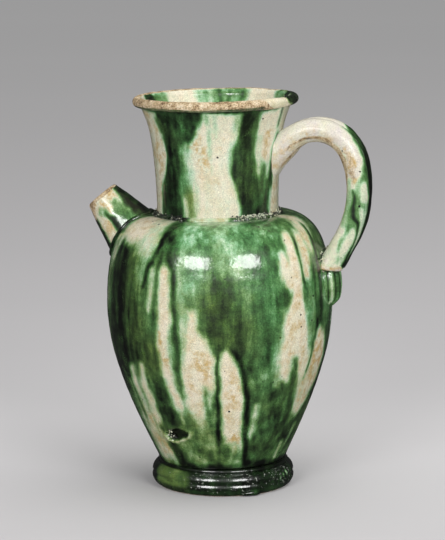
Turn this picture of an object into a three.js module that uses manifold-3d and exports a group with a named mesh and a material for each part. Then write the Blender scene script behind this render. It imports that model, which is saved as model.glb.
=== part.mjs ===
// A wheel-thrown, lead-glazed earthenware ewer, as the potter put it together: a thrown belly on a turned
// foot pad, a separately thrown neck with its edge rolled over, a short spout cut at an angle, and a handle
// of two clay rolls laid side by side, whose ends are pressed into a leaf below. Beads of slip lute the
// members to each other, and one tear of glaze hangs under the foot.
// Units are millimetres, +Z is up, the origin is the centre of the foot's flat underside, the handle is
// at +X and the spout at -X.
import * as THREE from 'three';
import { mergeVertices } from 'three/addons/utils/BufferGeometryUtils.js';
import Module from 'manifold-3d';

const wasm = await Module();
wasm.setup();

// ---- driving dimensions ----
const HEIGHT = 208.6; // foot to lip
const FOOT_RADIUS = 38;
const FOOT_HEIGHT = 13.4;
const BELLY_RADIUS = 60;
const BELLY_BOTTOM = 14.5;
const BELLY_TOP = 145.6;
const BELLY_WALL = 4.5;
const FLOOR_THICKNESS = 7;
const NECK_RADIUS = 32.4; // at its narrowest
const NECK_WALL = 3.8;
const NECK_TOP = 203.8;
const LIP_RADIUS = 43.9; // outside of the rolled edge
const ROLL_RADIUS = 2.9; // of the rolled edge's own section
const SPOUT_RISE = THREE.MathUtils.degToRad(50.5); // its slope above the horizontal
const SPOUT_TIP = new THREE.Vector3(-63.3, 0, 155);
const SPOUT_TIP_RADIUS = 9.2;
const SPOUT_ROOT_RADIUS = 17.8;
const SPOUT_LENGTH = 35; // including the stretch that the belly cuts off
const SPOUT_BORE_RADIUS = 5.2;
const STRAND_RADIUS = 6.15; // of each clay roll in the handle
const STRAND_OFFSET = 5.4; // its centreline's distance from the handle's middle plane
const TAIL_TOP = 121;
const TAIL_BOTTOM = 95.5;
const TAIL_HALF_WIDTH = 11.5;
const TAIL_BULGE = 7.2; // how far the leaf stands out of the belly
const LEAN = THREE.MathUtils.degToRad(1.22); // the pot leans this much to its spout side
const GAP = 0.3; // between faces that meet
const ROUND_STEPS = 48; // facets round every turned piece
const TUBE_STEPS = 7; // facets round half of a handle roll
const HANDLE_STEPS = 26; // rings along the handle

// ---- helpers ----
// A turned piece: the outline is [radius, height] pairs, and closes on itself or starts and ends on the axis.
function turned(outline, steps = ROUND_STEPS) {
  const points = outline.map(([r, z]) => new THREE.Vector2(r, z));
  return new THREE.LatheGeometry(points, steps).rotateX(Math.PI / 2);
}

// Evenly spread points of a smooth curve through [radius, height] pairs.
function smooth(pairs, count) {
  const curve = new THREE.SplineCurve(pairs.map(([r, z]) => new THREE.Vector2(r, z)));
  return curve.getSpacedPoints(count).map((p) => [p.x, p.y]);
}

// An arc's points, [radius, height], anticlockwise from one angle to the other in degrees.
function arc(r, z, radius, from, to, count) {
  return Array.from({ length: count + 1 }, (_, i) => {
    const a = THREE.MathUtils.degToRad(from + ((to - from) * i) / count);
    return [r + radius * Math.cos(a), z + radius * Math.sin(a)];
  });
}

// A piece's geometry tilted as the whole pot above the foot leans.
function leaning(geometry) {
  return geometry.clone().translate(0, 0, -BELLY_BOTTOM).rotateY(-LEAN).translate(0, 0, BELLY_BOTTOM);
}

// A geometry as a solid that can be joined and cut.
function solid(geometry) {
  const bare = geometry.clone();
  bare.deleteAttribute('normal');
  bare.deleteAttribute('uv');
  const merged = mergeVertices(bare, 1e-4);
  return new wasm.Manifold(
    new wasm.Mesh({
      numProp: 3,
      vertProperties: merged.attributes.position.array,
      triVerts: new Uint32Array(merged.index.array),
    }),
  );
}

// The largest single body of a solid, as a geometry.
function geometryOf(shape) {
  const bodies = shape.decompose().sort((a, b) => b.volume() - a.volume());
  const mesh = bodies[0].getMesh();
  const geometry = new THREE.BufferGeometry();
  geometry.setAttribute('position', new THREE.BufferAttribute(mesh.vertProperties, 3));
  geometry.setIndex(new THREE.BufferAttribute(mesh.triVerts, 1));
  geometry.computeVertexNormals();
  return geometry;
}

// A ball stretched to three half-sizes, used for pressed and dripped clay.
function pebble(halfX, halfY, halfZ, centre, steps = 20) {
  return new THREE.SphereGeometry(1, steps, Math.round(steps * 0.6))
    .scale(halfX, halfY, halfZ)
    .translate(centre.x, centre.y, centre.z);
}

// ---- clays and glazes ----
const finish = (color, roughness) => new THREE.MeshStandardMaterial({ color, roughness, metalness: 0 });
const greenGlaze = finish('#3d7a41', 0.18);
const creamGlaze = finish('#d8cba8', 0.25);
const bareClay = finish('#b4916c', 0.75);
const darkGlaze = finish('#2f4433', 0.2);

// ---- outlines, as shares of the belly's greatest radius and of its height ----
const BELLY_OUTLINE = [
  [0.565, 0],
  [0.699, 0.13],
  [0.807, 0.245],
  [0.897, 0.36],
  [0.965, 0.475],
  [0.998, 0.59],
  [1, 0.665],
  [0.991, 0.74],
  [0.972, 0.804],
  [0.943, 0.862],
  [0.9, 0.912],
  [0.845, 0.949],
  [0.78, 0.975],
  [0.7, 0.993],
  [0.61, 1],
].map(([r, z]) => [r * BELLY_RADIUS, BELLY_BOTTOM + z * (BELLY_TOP - BELLY_BOTTOM)]);

const bellyOutside = smooth(BELLY_OUTLINE, 19);
const THROAT_RADIUS = NECK_RADIUS - NECK_WALL;

function bellyShell() {
  const floor = BELLY_BOTTOM + FLOOR_THICKNESS;
  const inside = smooth(
    BELLY_OUTLINE.slice(1, -1)
      .map(([r, z]) => [r - BELLY_WALL, z - 1.2])
      .concat([[THROAT_RADIUS + 4, BELLY_TOP - BELLY_WALL]]),
    10,
  ).reverse();
  return [
    [0, BELLY_BOTTOM],
    ...bellyOutside,
    [THROAT_RADIUS, BELLY_TOP],
    [THROAT_RADIUS, BELLY_TOP - BELLY_WALL],
    ...inside,
    [28, floor + 1],
    [0, floor],
  ];
}

// The belly filled in and grown by the gap: what joins it from outside is cut back to this.
const bellyFilled = turned([
  [0, BELLY_BOTTOM - GAP],
  [bellyOutside[0][0] + GAP, BELLY_BOTTOM - GAP],
  ...bellyOutside.map(([r, z]) => [r + GAP, z + GAP * (z > BELLY_TOP - 4 ? 1 : 0)]),
  [0, BELLY_TOP + GAP],
]);
const bellyCutter = solid(bellyFilled);

// ---- the neck: a thrown tube that flares to a rolled edge ----
const LIP_CENTRE = [LIP_RADIUS - ROLL_RADIUS, HEIGHT - ROLL_RADIUS];
const NECK_BASE = BELLY_TOP + GAP;
const neckOutside = smooth(
  [
    [NECK_RADIUS + 0.4, NECK_BASE],
    [NECK_RADIUS, NECK_BASE + 6],
    [NECK_RADIUS + 0.6, NECK_BASE + 21],
    [NECK_RADIUS + 1.9, NECK_BASE + 36],
    [NECK_RADIUS + 3.5, NECK_BASE + 46],
    [NECK_RADIUS + 5.4, NECK_BASE + 52],
    [LIP_CENTRE[0] - 2.4, NECK_TOP - 2.6],
  ],
  12,
);
const neckInside = smooth(
  [
    [LIP_CENTRE[0] - ROLL_RADIUS - GAP, NECK_TOP + 1.4],
    [LIP_CENTRE[0] - 6.2, NECK_TOP - 4],
    [NECK_RADIUS - 1.4, NECK_BASE + 44],
    [NECK_RADIUS - NECK_WALL + 0.6, NECK_BASE + 26],
    [THROAT_RADIUS, NECK_BASE],
  ],
  10,
);
// The flare's top is a hollow seat that follows the roll lying in it.
const lipSeat = arc(...LIP_CENTRE, ROLL_RADIUS + GAP, 232, 183, 4);
const neckOutline = [...neckOutside, ...lipSeat, ...neckInside, neckOutside[0]];
const neckCutter = solid(
  turned([[0, NECK_BASE], ...neckOutside.map(([r, z]) => [r + GAP, z]), [0, NECK_TOP - 2.6]]),
);

// ---- the handle: two clay rolls along one path, flattened where they touch ----
const handlePath = new THREE.CatmullRomCurve3(
  [
    [28, 174],
    [35.4, 179.8],
    [41.2, 185.5],
    [48, 189.1],
    [56, 190],
    [64, 187.6],
    [70.3, 181.9],
    [74.2, 174],
    [76, 164.4],
    [76, 156],
    [74.7, 147.6],
    [71.6, 138],
    [67.4, 130],
    [63.1, 122.6],
    [57.8, 114.8],
  ].map(([x, z]) => new THREE.Vector3(x, 0, z)),
);

function strand(side) {
  const section = new THREE.Shape();
  section.absarc(0, 0, STRAND_RADIUS, 0, 2 * Math.PI);
  const roll = new THREE.ExtrudeGeometry(section, {
    curveSegments: TUBE_STEPS,
    steps: HANDLE_STEPS,
    extrudePath: handlePath,
  }).translate(0, side * STRAND_OFFSET, 0);
  const half = new THREE.BoxGeometry(200, 40, 300).translate(50, side * (20 + GAP / 2), 150);
  return geometryOf(solid(roll).intersect(solid(half)).subtract(bellyCutter).subtract(neckCutter));
}

const strandCutter = [-1, 1]
  .map((side) => {
    const section = new THREE.Shape();
    section.absarc(0, 0, STRAND_RADIUS + GAP, 0, 2 * Math.PI);
    return solid(
      new THREE.ExtrudeGeometry(section, {
        curveSegments: TUBE_STEPS,
        steps: HANDLE_STEPS,
        extrudePath: handlePath,
      }).translate(0, side * STRAND_OFFSET, 0),
    );
  })
  .reduce((a, b) => a.add(b));

// ---- the spout: a tapered tube, bored through into the belly ----
function spoutTube(tipRadius, rootRadius, extraTip = 0) {
  const slope = (rootRadius - tipRadius) / SPOUT_LENGTH;
  const cone = new THREE.CylinderGeometry(
    tipRadius - slope * extraTip,
    rootRadius,
    SPOUT_LENGTH + extraTip,
    28,
  )
    .rotateX(Math.PI / 2)
    .translate(0, 0, (extraTip - SPOUT_LENGTH) / 2);
  return cone
    .rotateY(SPOUT_RISE - Math.PI / 2)
    .translate(SPOUT_TIP.x, SPOUT_TIP.y, SPOUT_TIP.z);
}

const spoutBore = solid(spoutTube(SPOUT_BORE_RADIUS, SPOUT_BORE_RADIUS + 1.5, 4));
const spoutCutter = solid(spoutTube(SPOUT_TIP_RADIUS + GAP, SPOUT_ROOT_RADIUS + GAP));

function spout() {
  const outside = solid(spoutTube(SPOUT_TIP_RADIUS, SPOUT_ROOT_RADIUS));
  return geometryOf(outside.subtract(spoutBore).subtract(bellyCutter).subtract(neckCutter));
}

// ---- slip beads: a soft ring laid where two members meet ----
function neckBead() {
  const ring = turned([
    [NECK_RADIUS + 0.8, NECK_BASE + 3.2],
    [NECK_RADIUS + 0.8, NECK_BASE + 0.3],
    [NECK_RADIUS + 4.4, NECK_BASE + 0.3],
    [NECK_RADIUS + 2.6, NECK_BASE + 1.3],
    [NECK_RADIUS + 0.8, NECK_BASE + 3.2],
  ]);
  return geometryOf(solid(ring).subtract(neckCutter).subtract(bellyCutter).subtract(spoutCutter));
}

// A bead round a slanting member: the member grown by the bead's width, kept only near the other's wall.
function spoutBead() {
  const grown = solid(spoutTube(SPOUT_TIP_RADIUS + 1.6, SPOUT_ROOT_RADIUS + 1));
  const shell = solid(
    turned([
      [0, BELLY_BOTTOM],
      ...bellyOutside.map(([r, z]) => [r + 2.4, z + (z > BELLY_TOP - 20 ? 1.6 : 0)]),
      [0, BELLY_TOP + 1.6],
    ]),
  );
  return geometryOf(
    grown.intersect(shell).subtract(spoutCutter).subtract(bellyCutter).subtract(neckBeadCutter),
  );
}
const neckBeadCutter = solid(
  turned([
    [0, NECK_BASE - 1],
    [NECK_RADIUS + 5, NECK_BASE - 1],
    [NECK_RADIUS + 5, NECK_BASE + 2],
    [NECK_RADIUS + 1.2, NECK_BASE + 4],
    [NECK_RADIUS + 1.2, NECK_BASE + 14],
    [0, NECK_BASE + 14],
  ]),
);

function handleTopBead() {
  const pad = pebble(5.4, 14.4, 11, new THREE.Vector3(34.2, 0, 180.6));
  return geometryOf(solid(pad).subtract(neckCutter).subtract(strandCutter));
}

function handleRootBead() {
  const pad = pebble(6.5, 14.2, 9, new THREE.Vector3(56.5, 0, 119.5));
  return geometryOf(solid(pad).subtract(bellyCutter).subtract(strandCutter).subtract(tailCutter));
}

// ---- the pressed leaf below the handle ----
const tailCentre = new THREE.Vector3(58.8, 0, (TAIL_TOP + TAIL_BOTTOM) / 2 + 1);
const tailHalfHeight = (TAIL_TOP - TAIL_BOTTOM) / 2;
const tailShape = (grow) =>
  solid(pebble(TAIL_BULGE + 1.2 + grow, TAIL_HALF_WIDTH + grow, tailHalfHeight + grow, tailCentre));
const tailCutter = tailShape(GAP);
const tail = () => geometryOf(tailShape(0).subtract(bellyCutter).subtract(strandCutter));

// ---- the foot ----
const footOutline = [
  [0, 0],
  [FOOT_RADIUS - 3.2, 0],
  [FOOT_RADIUS - 1.3, 1.3],
  [FOOT_RADIUS, 4.6],
  [FOOT_RADIUS - 0.5, 6.6],
  [FOOT_RADIUS - 0.2, 8.4],
  [FOOT_RADIUS - 1.5, 10.7],
  [FOOT_RADIUS - 3.2, 11.8],
  [FOOT_RADIUS - 4.5, 12.2],
  [FOOT_RADIUS - 4.8, FOOT_HEIGHT],
  [0, FOOT_HEIGHT],
];
const footCutter = solid(turned(footOutline.map(([r, z]) => [r ? r + GAP : 0, z])));

// The bead between foot and belly, trimmed to the leaning belly.
function footBead() {
  const ring = turned([
    [FOOT_RADIUS - 4.3, FOOT_HEIGHT + 0.7],
    [FOOT_RADIUS - 4.3, FOOT_HEIGHT - 0.8],
    [FOOT_RADIUS - 3.3, FOOT_HEIGHT - 1],
    [FOOT_RADIUS - 2.9, FOOT_HEIGHT - 0.3],
    [FOOT_RADIUS - 3.5, FOOT_HEIGHT + 0.5],
    [FOOT_RADIUS - 4.3, FOOT_HEIGHT + 0.7],
  ]);
  return geometryOf(solid(ring).subtract(solid(leaning(bellyFilled))).subtract(footCutter));
}

function glazeTear() {
  const bearing = THREE.MathUtils.degToRad(-54); // from the handle, towards the front
  const reach = FOOT_RADIUS - 1.6;
  const at = new THREE.Vector3(reach * Math.cos(bearing), reach * Math.sin(bearing), 1.7);
  const drop = new THREE.SphereGeometry(1, 16, 10).scale(2.6, 6, 1.6).rotateZ(bearing);
  return geometryOf(solid(drop.translate(at.x, at.y, at.z)).subtract(footCutter));
}

// ---- assembly ----
function piece(name, geometry, material) {
  const mesh = new THREE.Mesh(geometry, material);
  mesh.name = name;
  return mesh;
}

const belly = solid(turned(bellyShell())).subtract(spoutBore);

// Everything above the foot leans about the joint with it.
const upper = new THREE.Group();
upper.add(
  piece('belly', geometryOf(belly), greenGlaze),
  piece('neck', turned(neckOutline), creamGlaze),
  piece('rolled_lip', turned(arc(...LIP_CENTRE, ROLL_RADIUS, 0, 360, 12)), bareClay),
  piece('spout', spout(), greenGlaze),
  piece('handle_strand_front', strand(-1), creamGlaze),
  piece('handle_strand_back', strand(1), greenGlaze),
  piece('handle_leaf', tail(), greenGlaze),
  piece('neck_slip_bead', neckBead(), darkGlaze),
  piece('spout_slip_bead', spoutBead(), darkGlaze),
  piece('handle_top_slip_bead', handleTopBead(), creamGlaze),
  piece('handle_root_slip_bead', handleRootBead(), creamGlaze),
);
for (const mesh of upper.children) mesh.geometry.translate(0, 0, -BELLY_BOTTOM);
upper.position.z = BELLY_BOTTOM;
upper.rotation.y = -LEAN;

const ewer = new THREE.Group();
ewer.add(
  upper,
  piece('foot_pad', turned(footOutline), darkGlaze),
  piece('foot_slip_bead', footBead(), darkGlaze),
  piece('glaze_tear', glazeTear(), darkGlaze),
);

export default ewer;
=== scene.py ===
"""A wheel-thrown earthenware ewer under splashed lead glaze, laid out as a Blender add-on.

The tables are in millimetres and degrees, as a potter would measure the pot standing upright, and every
mesh is leaned and brought to metres when it is finished. A bearing is measured round the pot's axis,
anticlockwise from above: 0 over the handle, 180 over the spout, -90 on the side that faces the viewer.
"""

import math
import random

import bmesh
import bpy
import numpy as np
from bpy.props import FloatProperty, FloatVectorProperty, PointerProperty
from mathutils import Matrix, Vector


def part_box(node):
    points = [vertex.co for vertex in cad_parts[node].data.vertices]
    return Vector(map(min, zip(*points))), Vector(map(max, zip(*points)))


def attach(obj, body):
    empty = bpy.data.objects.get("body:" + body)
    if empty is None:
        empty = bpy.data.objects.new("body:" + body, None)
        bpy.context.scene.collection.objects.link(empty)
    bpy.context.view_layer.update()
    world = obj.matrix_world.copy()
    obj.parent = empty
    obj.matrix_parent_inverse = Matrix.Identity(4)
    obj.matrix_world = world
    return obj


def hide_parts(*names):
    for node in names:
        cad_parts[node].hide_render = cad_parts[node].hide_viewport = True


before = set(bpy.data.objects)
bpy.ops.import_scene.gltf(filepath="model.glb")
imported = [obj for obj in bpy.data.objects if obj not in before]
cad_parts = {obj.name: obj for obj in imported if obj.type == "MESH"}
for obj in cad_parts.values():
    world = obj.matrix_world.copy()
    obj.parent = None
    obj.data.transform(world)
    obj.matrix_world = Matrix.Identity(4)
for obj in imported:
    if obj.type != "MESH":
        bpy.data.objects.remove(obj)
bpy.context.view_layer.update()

bl_info = {
    "name": "Splash-glazed ewer",
    "version": (1, 0, 0),
    "blender": (4, 5, 0),
    "location": "View3D > Sidebar > Ewer",
    "description": "Builds a wheel-thrown, splash-glazed earthenware ewer and its stage",
    "category": "Add Mesh",
}

MM = 0.001
LEVELS = ("copper", "iron", "olive", "wear", "grit")  # what the glaze attributes are called
BODY = "root"
SIDEWAYS = Vector((0, 1, 0))  # across the plane that holds the handle and the spout


# ---- sizes read from the frame, in millimetres ----
def node_box(node):
    """A CAD node's lowest and highest corners, in millimetres."""
    low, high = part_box(node)
    return low / MM, high / MM


FOOT_RADIUS = node_box("foot_pad")[1].y
FOOT_HEIGHT = node_box("foot_pad")[1].z
BELLY_RADIUS = node_box("belly")[1].y - 0.2
LIP_RADIUS = node_box("rolled_lip")[1].y
LEAN = math.radians(1.22)
JOINT_HEIGHT = FOOT_HEIGHT + 1.1  # the pot leans about its joint with the foot
BELLY_HEIGHT = 131.1
SHOULDER = JOINT_HEIGHT + BELLY_HEIGHT
NECK_RADIUS = 32.4
NECK_BASE = SHOULDER + 0.3
ROLL_RADIUS = 2.9
LIP_HEIGHT = 205.7  # the roll's centre
ROLL_CENTRE = LIP_RADIUS - ROLL_RADIUS
THROAT_RADIUS = NECK_RADIUS - 3.8
WALL = 4.5
FLOOR_THICKNESS = 7
AXIS = 0.01  # a turned outline comes this close to the axis and closes there


# ---- marks of glaze ----
# A mark is (level, strength, softness in mm, knots), and a knot is (bearing, height, half width in degrees).
# A mark covers a tapering band along its knots. Levels of copper run from 0, bare cream, through pale mint and
# leaf green to 1, green-black; levels of iron, olive and wear run from none to full.
BELLY_COPPER = [
    # broad washes of green over the shoulder and the belly
    (0.38, 0.9, 9, [(-98, 142, 6), (-94, 124, 6), (-92, 108, 4)]),
    (0.37, 0.85, 8, [(-76, 141, 10), (-72, 128, 8)]),
    (0.56, 0.8, 6, [(-52, 142, 7), (-48, 136, 5)]),
    (0.60, 0.8, 7, [(-54, 130, 7), (-52, 104, 7)]),
    (0.76, 0.9, 9, [(-77, 113, 5), (-74, 100, 10), (-71, 88, 9)]),
    (0.68, 0.8, 7, [(-55, 104, 6), (-52, 80, 7), (-50, 50, 8), (-47, 25, 10)]),
    (0.93, 1.0, 5, [(-139, 127, 8), (-139, 108, 9), (-141, 88, 11), (-146, 60, 10)]),
    (0.76, 0.9, 4, [(-130, 130, 3), (-129, 112, 4), (-129, 98, 4)]),
    (0.46, 0.8, 4, [(-122, 134, 3), (-121, 112, 3), (-119, 98, 2)]),
    (0.72, 0.8, 4, [(-128, 92, 5), (-127, 80, 5)]),
    (0.66, 0.8, 3, [(-117, 84, 4), (-116, 72, 4)]),
    (0.84, 0.9, 4, [(-116, 62, 4), (-115, 50, 5), (-113, 42, 5)]),
    (0.76, 0.7, 4, [(-54, 40, 4), (-52, 24, 6)]),
    (0.70, 0.7, 4, [(-164, 112, 4), (-167, 80, 5)]),
    (0.36, 0.8, 3, [(-154, 138, 2), (-157, 120, 3), (-158, 100, 3)]),
    (0.78, 0.9, 7, [(-40, 42, 8), (-30, 30, 14)]),
    (0.80, 0.9, 5, [(-4, 92, 5), (-5, 70, 4), (-8, 48, 6), (-14, 28, 6)]),
    # cream left bare on the shoulder beside the spout, with its mint edge
    (0.13, 1.0, 3, [(-121, 143, 7), (-121, 136, 5)]),
    (0.00, 1.0, 2.5, [(-146, 144, 8), (-137, 142, 8), (-131, 140, 4)]),
    (0.16, 0.8, 3, [(-150, 136, 3), (-154, 126, 2)]),
    # dark glaze that parted round two pale stripes under the neck
    (0.88, 0.9, 3, [(-109, 144, 4), (-105, 137, 4), (-104, 130, 3)]),
    (0.93, 1.0, 1.2, [(-111, 140, 1.4), (-114, 128, 1.4), (-118, 122, 1.0), (-120, 114, 0.6)]),
    (0.92, 1.0, 1.4, [(-110, 132, 1.2), (-110.5, 120, 1.2), (-111, 108, 0.8)]),
    (0.26, 0.9, 1.6, [(-114.5, 123, 1.5), (-115, 112, 1.8), (-116, 102, 1.2)]),
    (0.92, 1.0, 1.8, [(-104, 128, 1.4), (-102, 121, 1.8), (-101, 110, 1.8), (-100, 95, 1.6)]),
    (0.90, 0.9, 2.0, [(-100, 95, 1.6), (-99, 80, 1.9), (-98, 64, 1.5), (-97, 50, 1.0)]),
    (0.02, 1.0, 1.4, [(-107.2, 122, 2.2), (-106.7, 110, 2.6), (-107, 98, 2.8), (-108, 85, 2.5)]),
    (0.04, 1.0, 1.4, [(-108, 85, 2.5), (-107.5, 72, 1.9), (-106, 60, 1.8), (-104, 50, 1.6)]),
    (0.16, 0.8, 1.6, [(-104, 50, 1.5), (-102.5, 41, 1.2)]),
    # the widest bare patch
    (0.34, 0.9, 2.5, [(-97.5, 124, 2), (-97, 106, 2.4), (-97.5, 92, 2.2), (-97, 78, 2), (-98, 60, 2)]),
    (0.03, 1.0, 1.7, [(-92.5, 101, 1.2), (-92.3, 93, 2.4), (-90.4, 85, 5.2), (-89.2, 76, 7.2)]),
    (0.03, 1.0, 1.9, [(-89.2, 76, 7.2), (-89.4, 66, 7.8), (-91, 58, 6), (-92.5, 50, 4.4)]),
    (0.12, 0.8, 3.5, [(-92.5, 52, 4), (-93.5, 42, 2.6)]),
    (0.37, 0.85, 3.0, [(-86, 59, 1.4), (-85.5, 48, 2.6), (-85.5, 32, 4.2), (-88, 20, 6)]),
    (0.62, 0.7, 1.4, [(-86.5, 61, 0.8), (-86, 48, 1.2), (-85, 36, 1.2)]),
    (0.50, 0.8, 4.0, [(-96, 42, 3), (-97, 24, 6)]),
    # the dark line beside the tongue, and the tongue itself
    (0.97, 1.0, 0.9, [(-78.6, 86, 0.5), (-79, 72, 1.2), (-79.4, 56, 1.3), (-79.8, 42, 1.1)]),
    (0.97, 1.0, 1.2, [(-79.8, 42, 1.1), (-80.2, 33, 1.7), (-80.6, 24, 1.0)]),
    (0.02, 1.0, 1.0, [(-75.7, 81.5, 1.2), (-74.6, 75, 2.8), (-72.4, 66, 4.7), (-71.4, 57, 5.8)]),
    (0.02, 1.0, 1.1, [(-71.4, 57, 5.8), (-71, 47, 6.1), (-70.6, 38, 5.4), (-68.4, 30, 4.3)]),
    (0.06, 1.0, 1.6, [(-68.4, 30, 4.3), (-67, 23, 3.7), (-66, 17, 2.6)]),
    (0.52, 0.7, 2.5, [(-76, 28, 2.0), (-74, 18, 3.0)]),
    (0.70, 0.6, 5, [(-100, 20, 10), (-50, 20, 12)]),
    (0.96, 1.0, 1.1, [(-72, 83, 0.6), (-68, 76, 1.2), (-65.3, 66, 1.4), (-63, 56, 1.7)]),
    (0.96, 1.0, 1.3, [(-63, 56, 1.7), (-62.6, 44, 1.9), (-62, 34, 1.8), (-60, 25, 2.2), (-57.5, 17, 3)]),
    (0.28, 0.9, 1.8, [(-57, 50.5, 1.9), (-57, 42, 2.4), (-58, 33, 1.4)]),
    # the long flow on the handle's side, split below by a tongue of green
    (0.33, 0.8, 2.5, [(-44, 101, 1.6), (-46, 88, 1.6), (-47.5, 74, 2.4), (-46, 62, 3)]),
    (0.02, 1.0, 1.3, [(-35, 138, 2.1), (-34.3, 131, 2.6), (-34.5, 122, 4.0), (-35, 114, 3.2)]),
    (0.04, 1.0, 1.4, [(-42, 129, 1.6), (-41.3, 122, 2.9), (-38.5, 114, 2.8)]),
    (0.02, 1.0, 1.3, [(-35, 114, 3.0), (-34.5, 109, 2.4), (-35.6, 101, 5.0), (-36.4, 92, 7.2)]),
    (0.03, 1.0, 1.7, [(-36.4, 92, 7.2), (-35.6, 84, 8.7), (-36, 76, 9.4), (-39, 69, 5.6)]),
    (0.10, 0.9, 3.0, [(-28.5, 76, 3), (-26, 66, 4), (-23, 57, 5), (-21, 50, 4)]),
    (0.68, 1.0, 2.0, [(-35.6, 73, 1.4), (-34.2, 64, 3.4), (-33, 54, 4.6), (-33, 40, 5)]),
    (0.88, 0.7, 2.0, [(-35, 66, 0.9), (-33, 52, 1.8), (-32, 38, 2.4)]),
    (0.93, 1.0, 0.8, [(-30.7, 138, 0.7), (-30, 126, 1.0), (-29.2, 116, 0.9), (-27, 107, 0.6)]),
    (0.38, 0.8, 3.0, [(-26, 112, 2.4), (-25, 102, 3.6), (-23.5, 88, 4)]),
    (0.05, 1.0, 1.5, [(-25.3, 137, 2.6), (-25.5, 127, 2.7), (-26, 118, 1.6)]),
    (0.08, 0.9, 2.2, [(-12.5, 143.5, 6), (-16, 138, 4), (-17.5, 130, 2.2)]),
    (0.93, 1.0, 1.6, [(-12, 140, 0.9), (-15.4, 124, 1.6), (-16, 106, 1.8), (-16.8, 93, 1.2)]),
    (0.90, 1.0, 0.8, [(-19.6, 93, 0.8), (-20, 82, 0.9), (-22.4, 72, 0.9), (-24, 62, 0.6)]),
    (0.05, 1.0, 1.5, [(-16.6, 86, 2.2), (-14.6, 80, 5.2), (-13.6, 70, 7.2), (-15, 60, 6.6)]),
    (0.10, 0.9, 2.6, [(-15, 60, 6.6), (-18, 52, 5), (-20, 46, 3.4)]),
    (0.28, 0.9, 1.2, [(-26.6, 25, 2.3), (-27, 18, 1.8)]),
    (0.34, 0.8, 2.0, [(-16.4, 35, 1.9), (-17.4, 24, 1.9)]),
    (0.32, 0.9, 1.3, [(3, 101, 1.2), (3, 88, 1.5), (2, 76, 1.0)]),
    # stripes and the buff band low on the spout's side
    (0.34, 0.8, 2.0, [(-141, 62, 1.4), (-141, 48, 2.4), (-143, 34, 3)]),
    (0.14, 1.0, 1.4, [(-134.4, 69, 1.2), (-134.6, 58, 1.7), (-133.4, 46, 1.9), (-132, 38, 2.6)]),
    (0.10, 1.0, 1.4, [(-125.6, 71, 1.0), (-126.4, 62, 1.7), (-125.8, 52, 2.1), (-125, 42, 2.4)]),
    (0.14, 0.9, 3.0, [(-134, 33, 7), (-132, 24, 9), (-131, 17, 9)]),
    (0.86, 0.9, 2.0, [(-118, 27, 5), (-113, 18, 6)]),
    (0.42, 0.8, 2.5, [(-106, 27, 2.4), (-103, 21, 4), (-97, 18, 6)]),
]

BELLY_IRON = [
    (0.95, 0.9, 2.5, [(-107.8, 92, 2.4), (-107.4, 70, 2.2)]),
    (0.80, 0.9, 3.5, [(-91, 82, 3), (-85, 71, 5)]),
    (0.70, 0.8, 3.0, [(-92, 62, 3), (-93, 50, 3)]),
    (0.75, 0.8, 4.0, [(-72, 64, 3), (-70, 46, 4)]),
    (1.00, 0.95, 3.0, [(-68.6, 35, 4), (-66.6, 22, 5)]),
    (0.55, 0.8, 3.0, [(-35, 124, 2.4), (-35, 98, 3.4), (-40, 78, 6)]),
    (0.80, 0.8, 3.0, [(-28, 82, 3), (-30, 72, 3)]),
    (1.00, 0.9, 3.0, [(-14.5, 80, 5), (-14, 66, 7), (-18, 52, 6), (-24, 60, 3)]),
    (0.95, 0.8, 3.0, [(-17, 140, 4), (-20, 130, 4)]),
    (0.70, 0.8, 3.0, [(-25, 134, 3), (-26, 120, 3)]),
    (1.00, 0.9, 4.0, [(-134, 40, 7), (-132, 24, 10), (-130, 16, 10)]),
    (0.60, 0.8, 3.0, [(-140, 143, 8), (-132, 140, 5)]),
    (0.80, 0.7, 2.5, [(-104, 24, 3), (-97, 17.5, 5), (-88, 17, 4)]),
]

BELLY_OLIVE = [
    (0.8, 0.8, 8, [(-122, 30, 16), (-84, 26, 16)]),
    (0.0, 0.9, 7, [(-98, 142, 10), (-72, 142, 12), (-48, 140, 12)]),
    (0.0, 0.9, 6, [(-92, 128, 5), (-94, 112, 4)]),
    (0.1, 0.9, 7, [(-52, 128, 10), (-51, 100, 6), (-52, 70, 5)]),
    (0.0, 0.8, 5, [(-26, 112, 5), (-24, 90, 7), (-8, 110, 8), (0, 90, 8)]),
    (0.2, 0.8, 4, [(-121, 141, 5), (-121, 118, 4)]),
    (0.9, 0.8, 6, [(-131, 125, 6), (-128, 95, 7), (-122, 78, 8)]),
    (0.9, 0.8, 6, [(-78, 108, 9), (-74, 92, 12)]),
    (0.9, 0.9, 5, [(-117, 84, 5), (-116, 68, 6)]),
]

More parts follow.
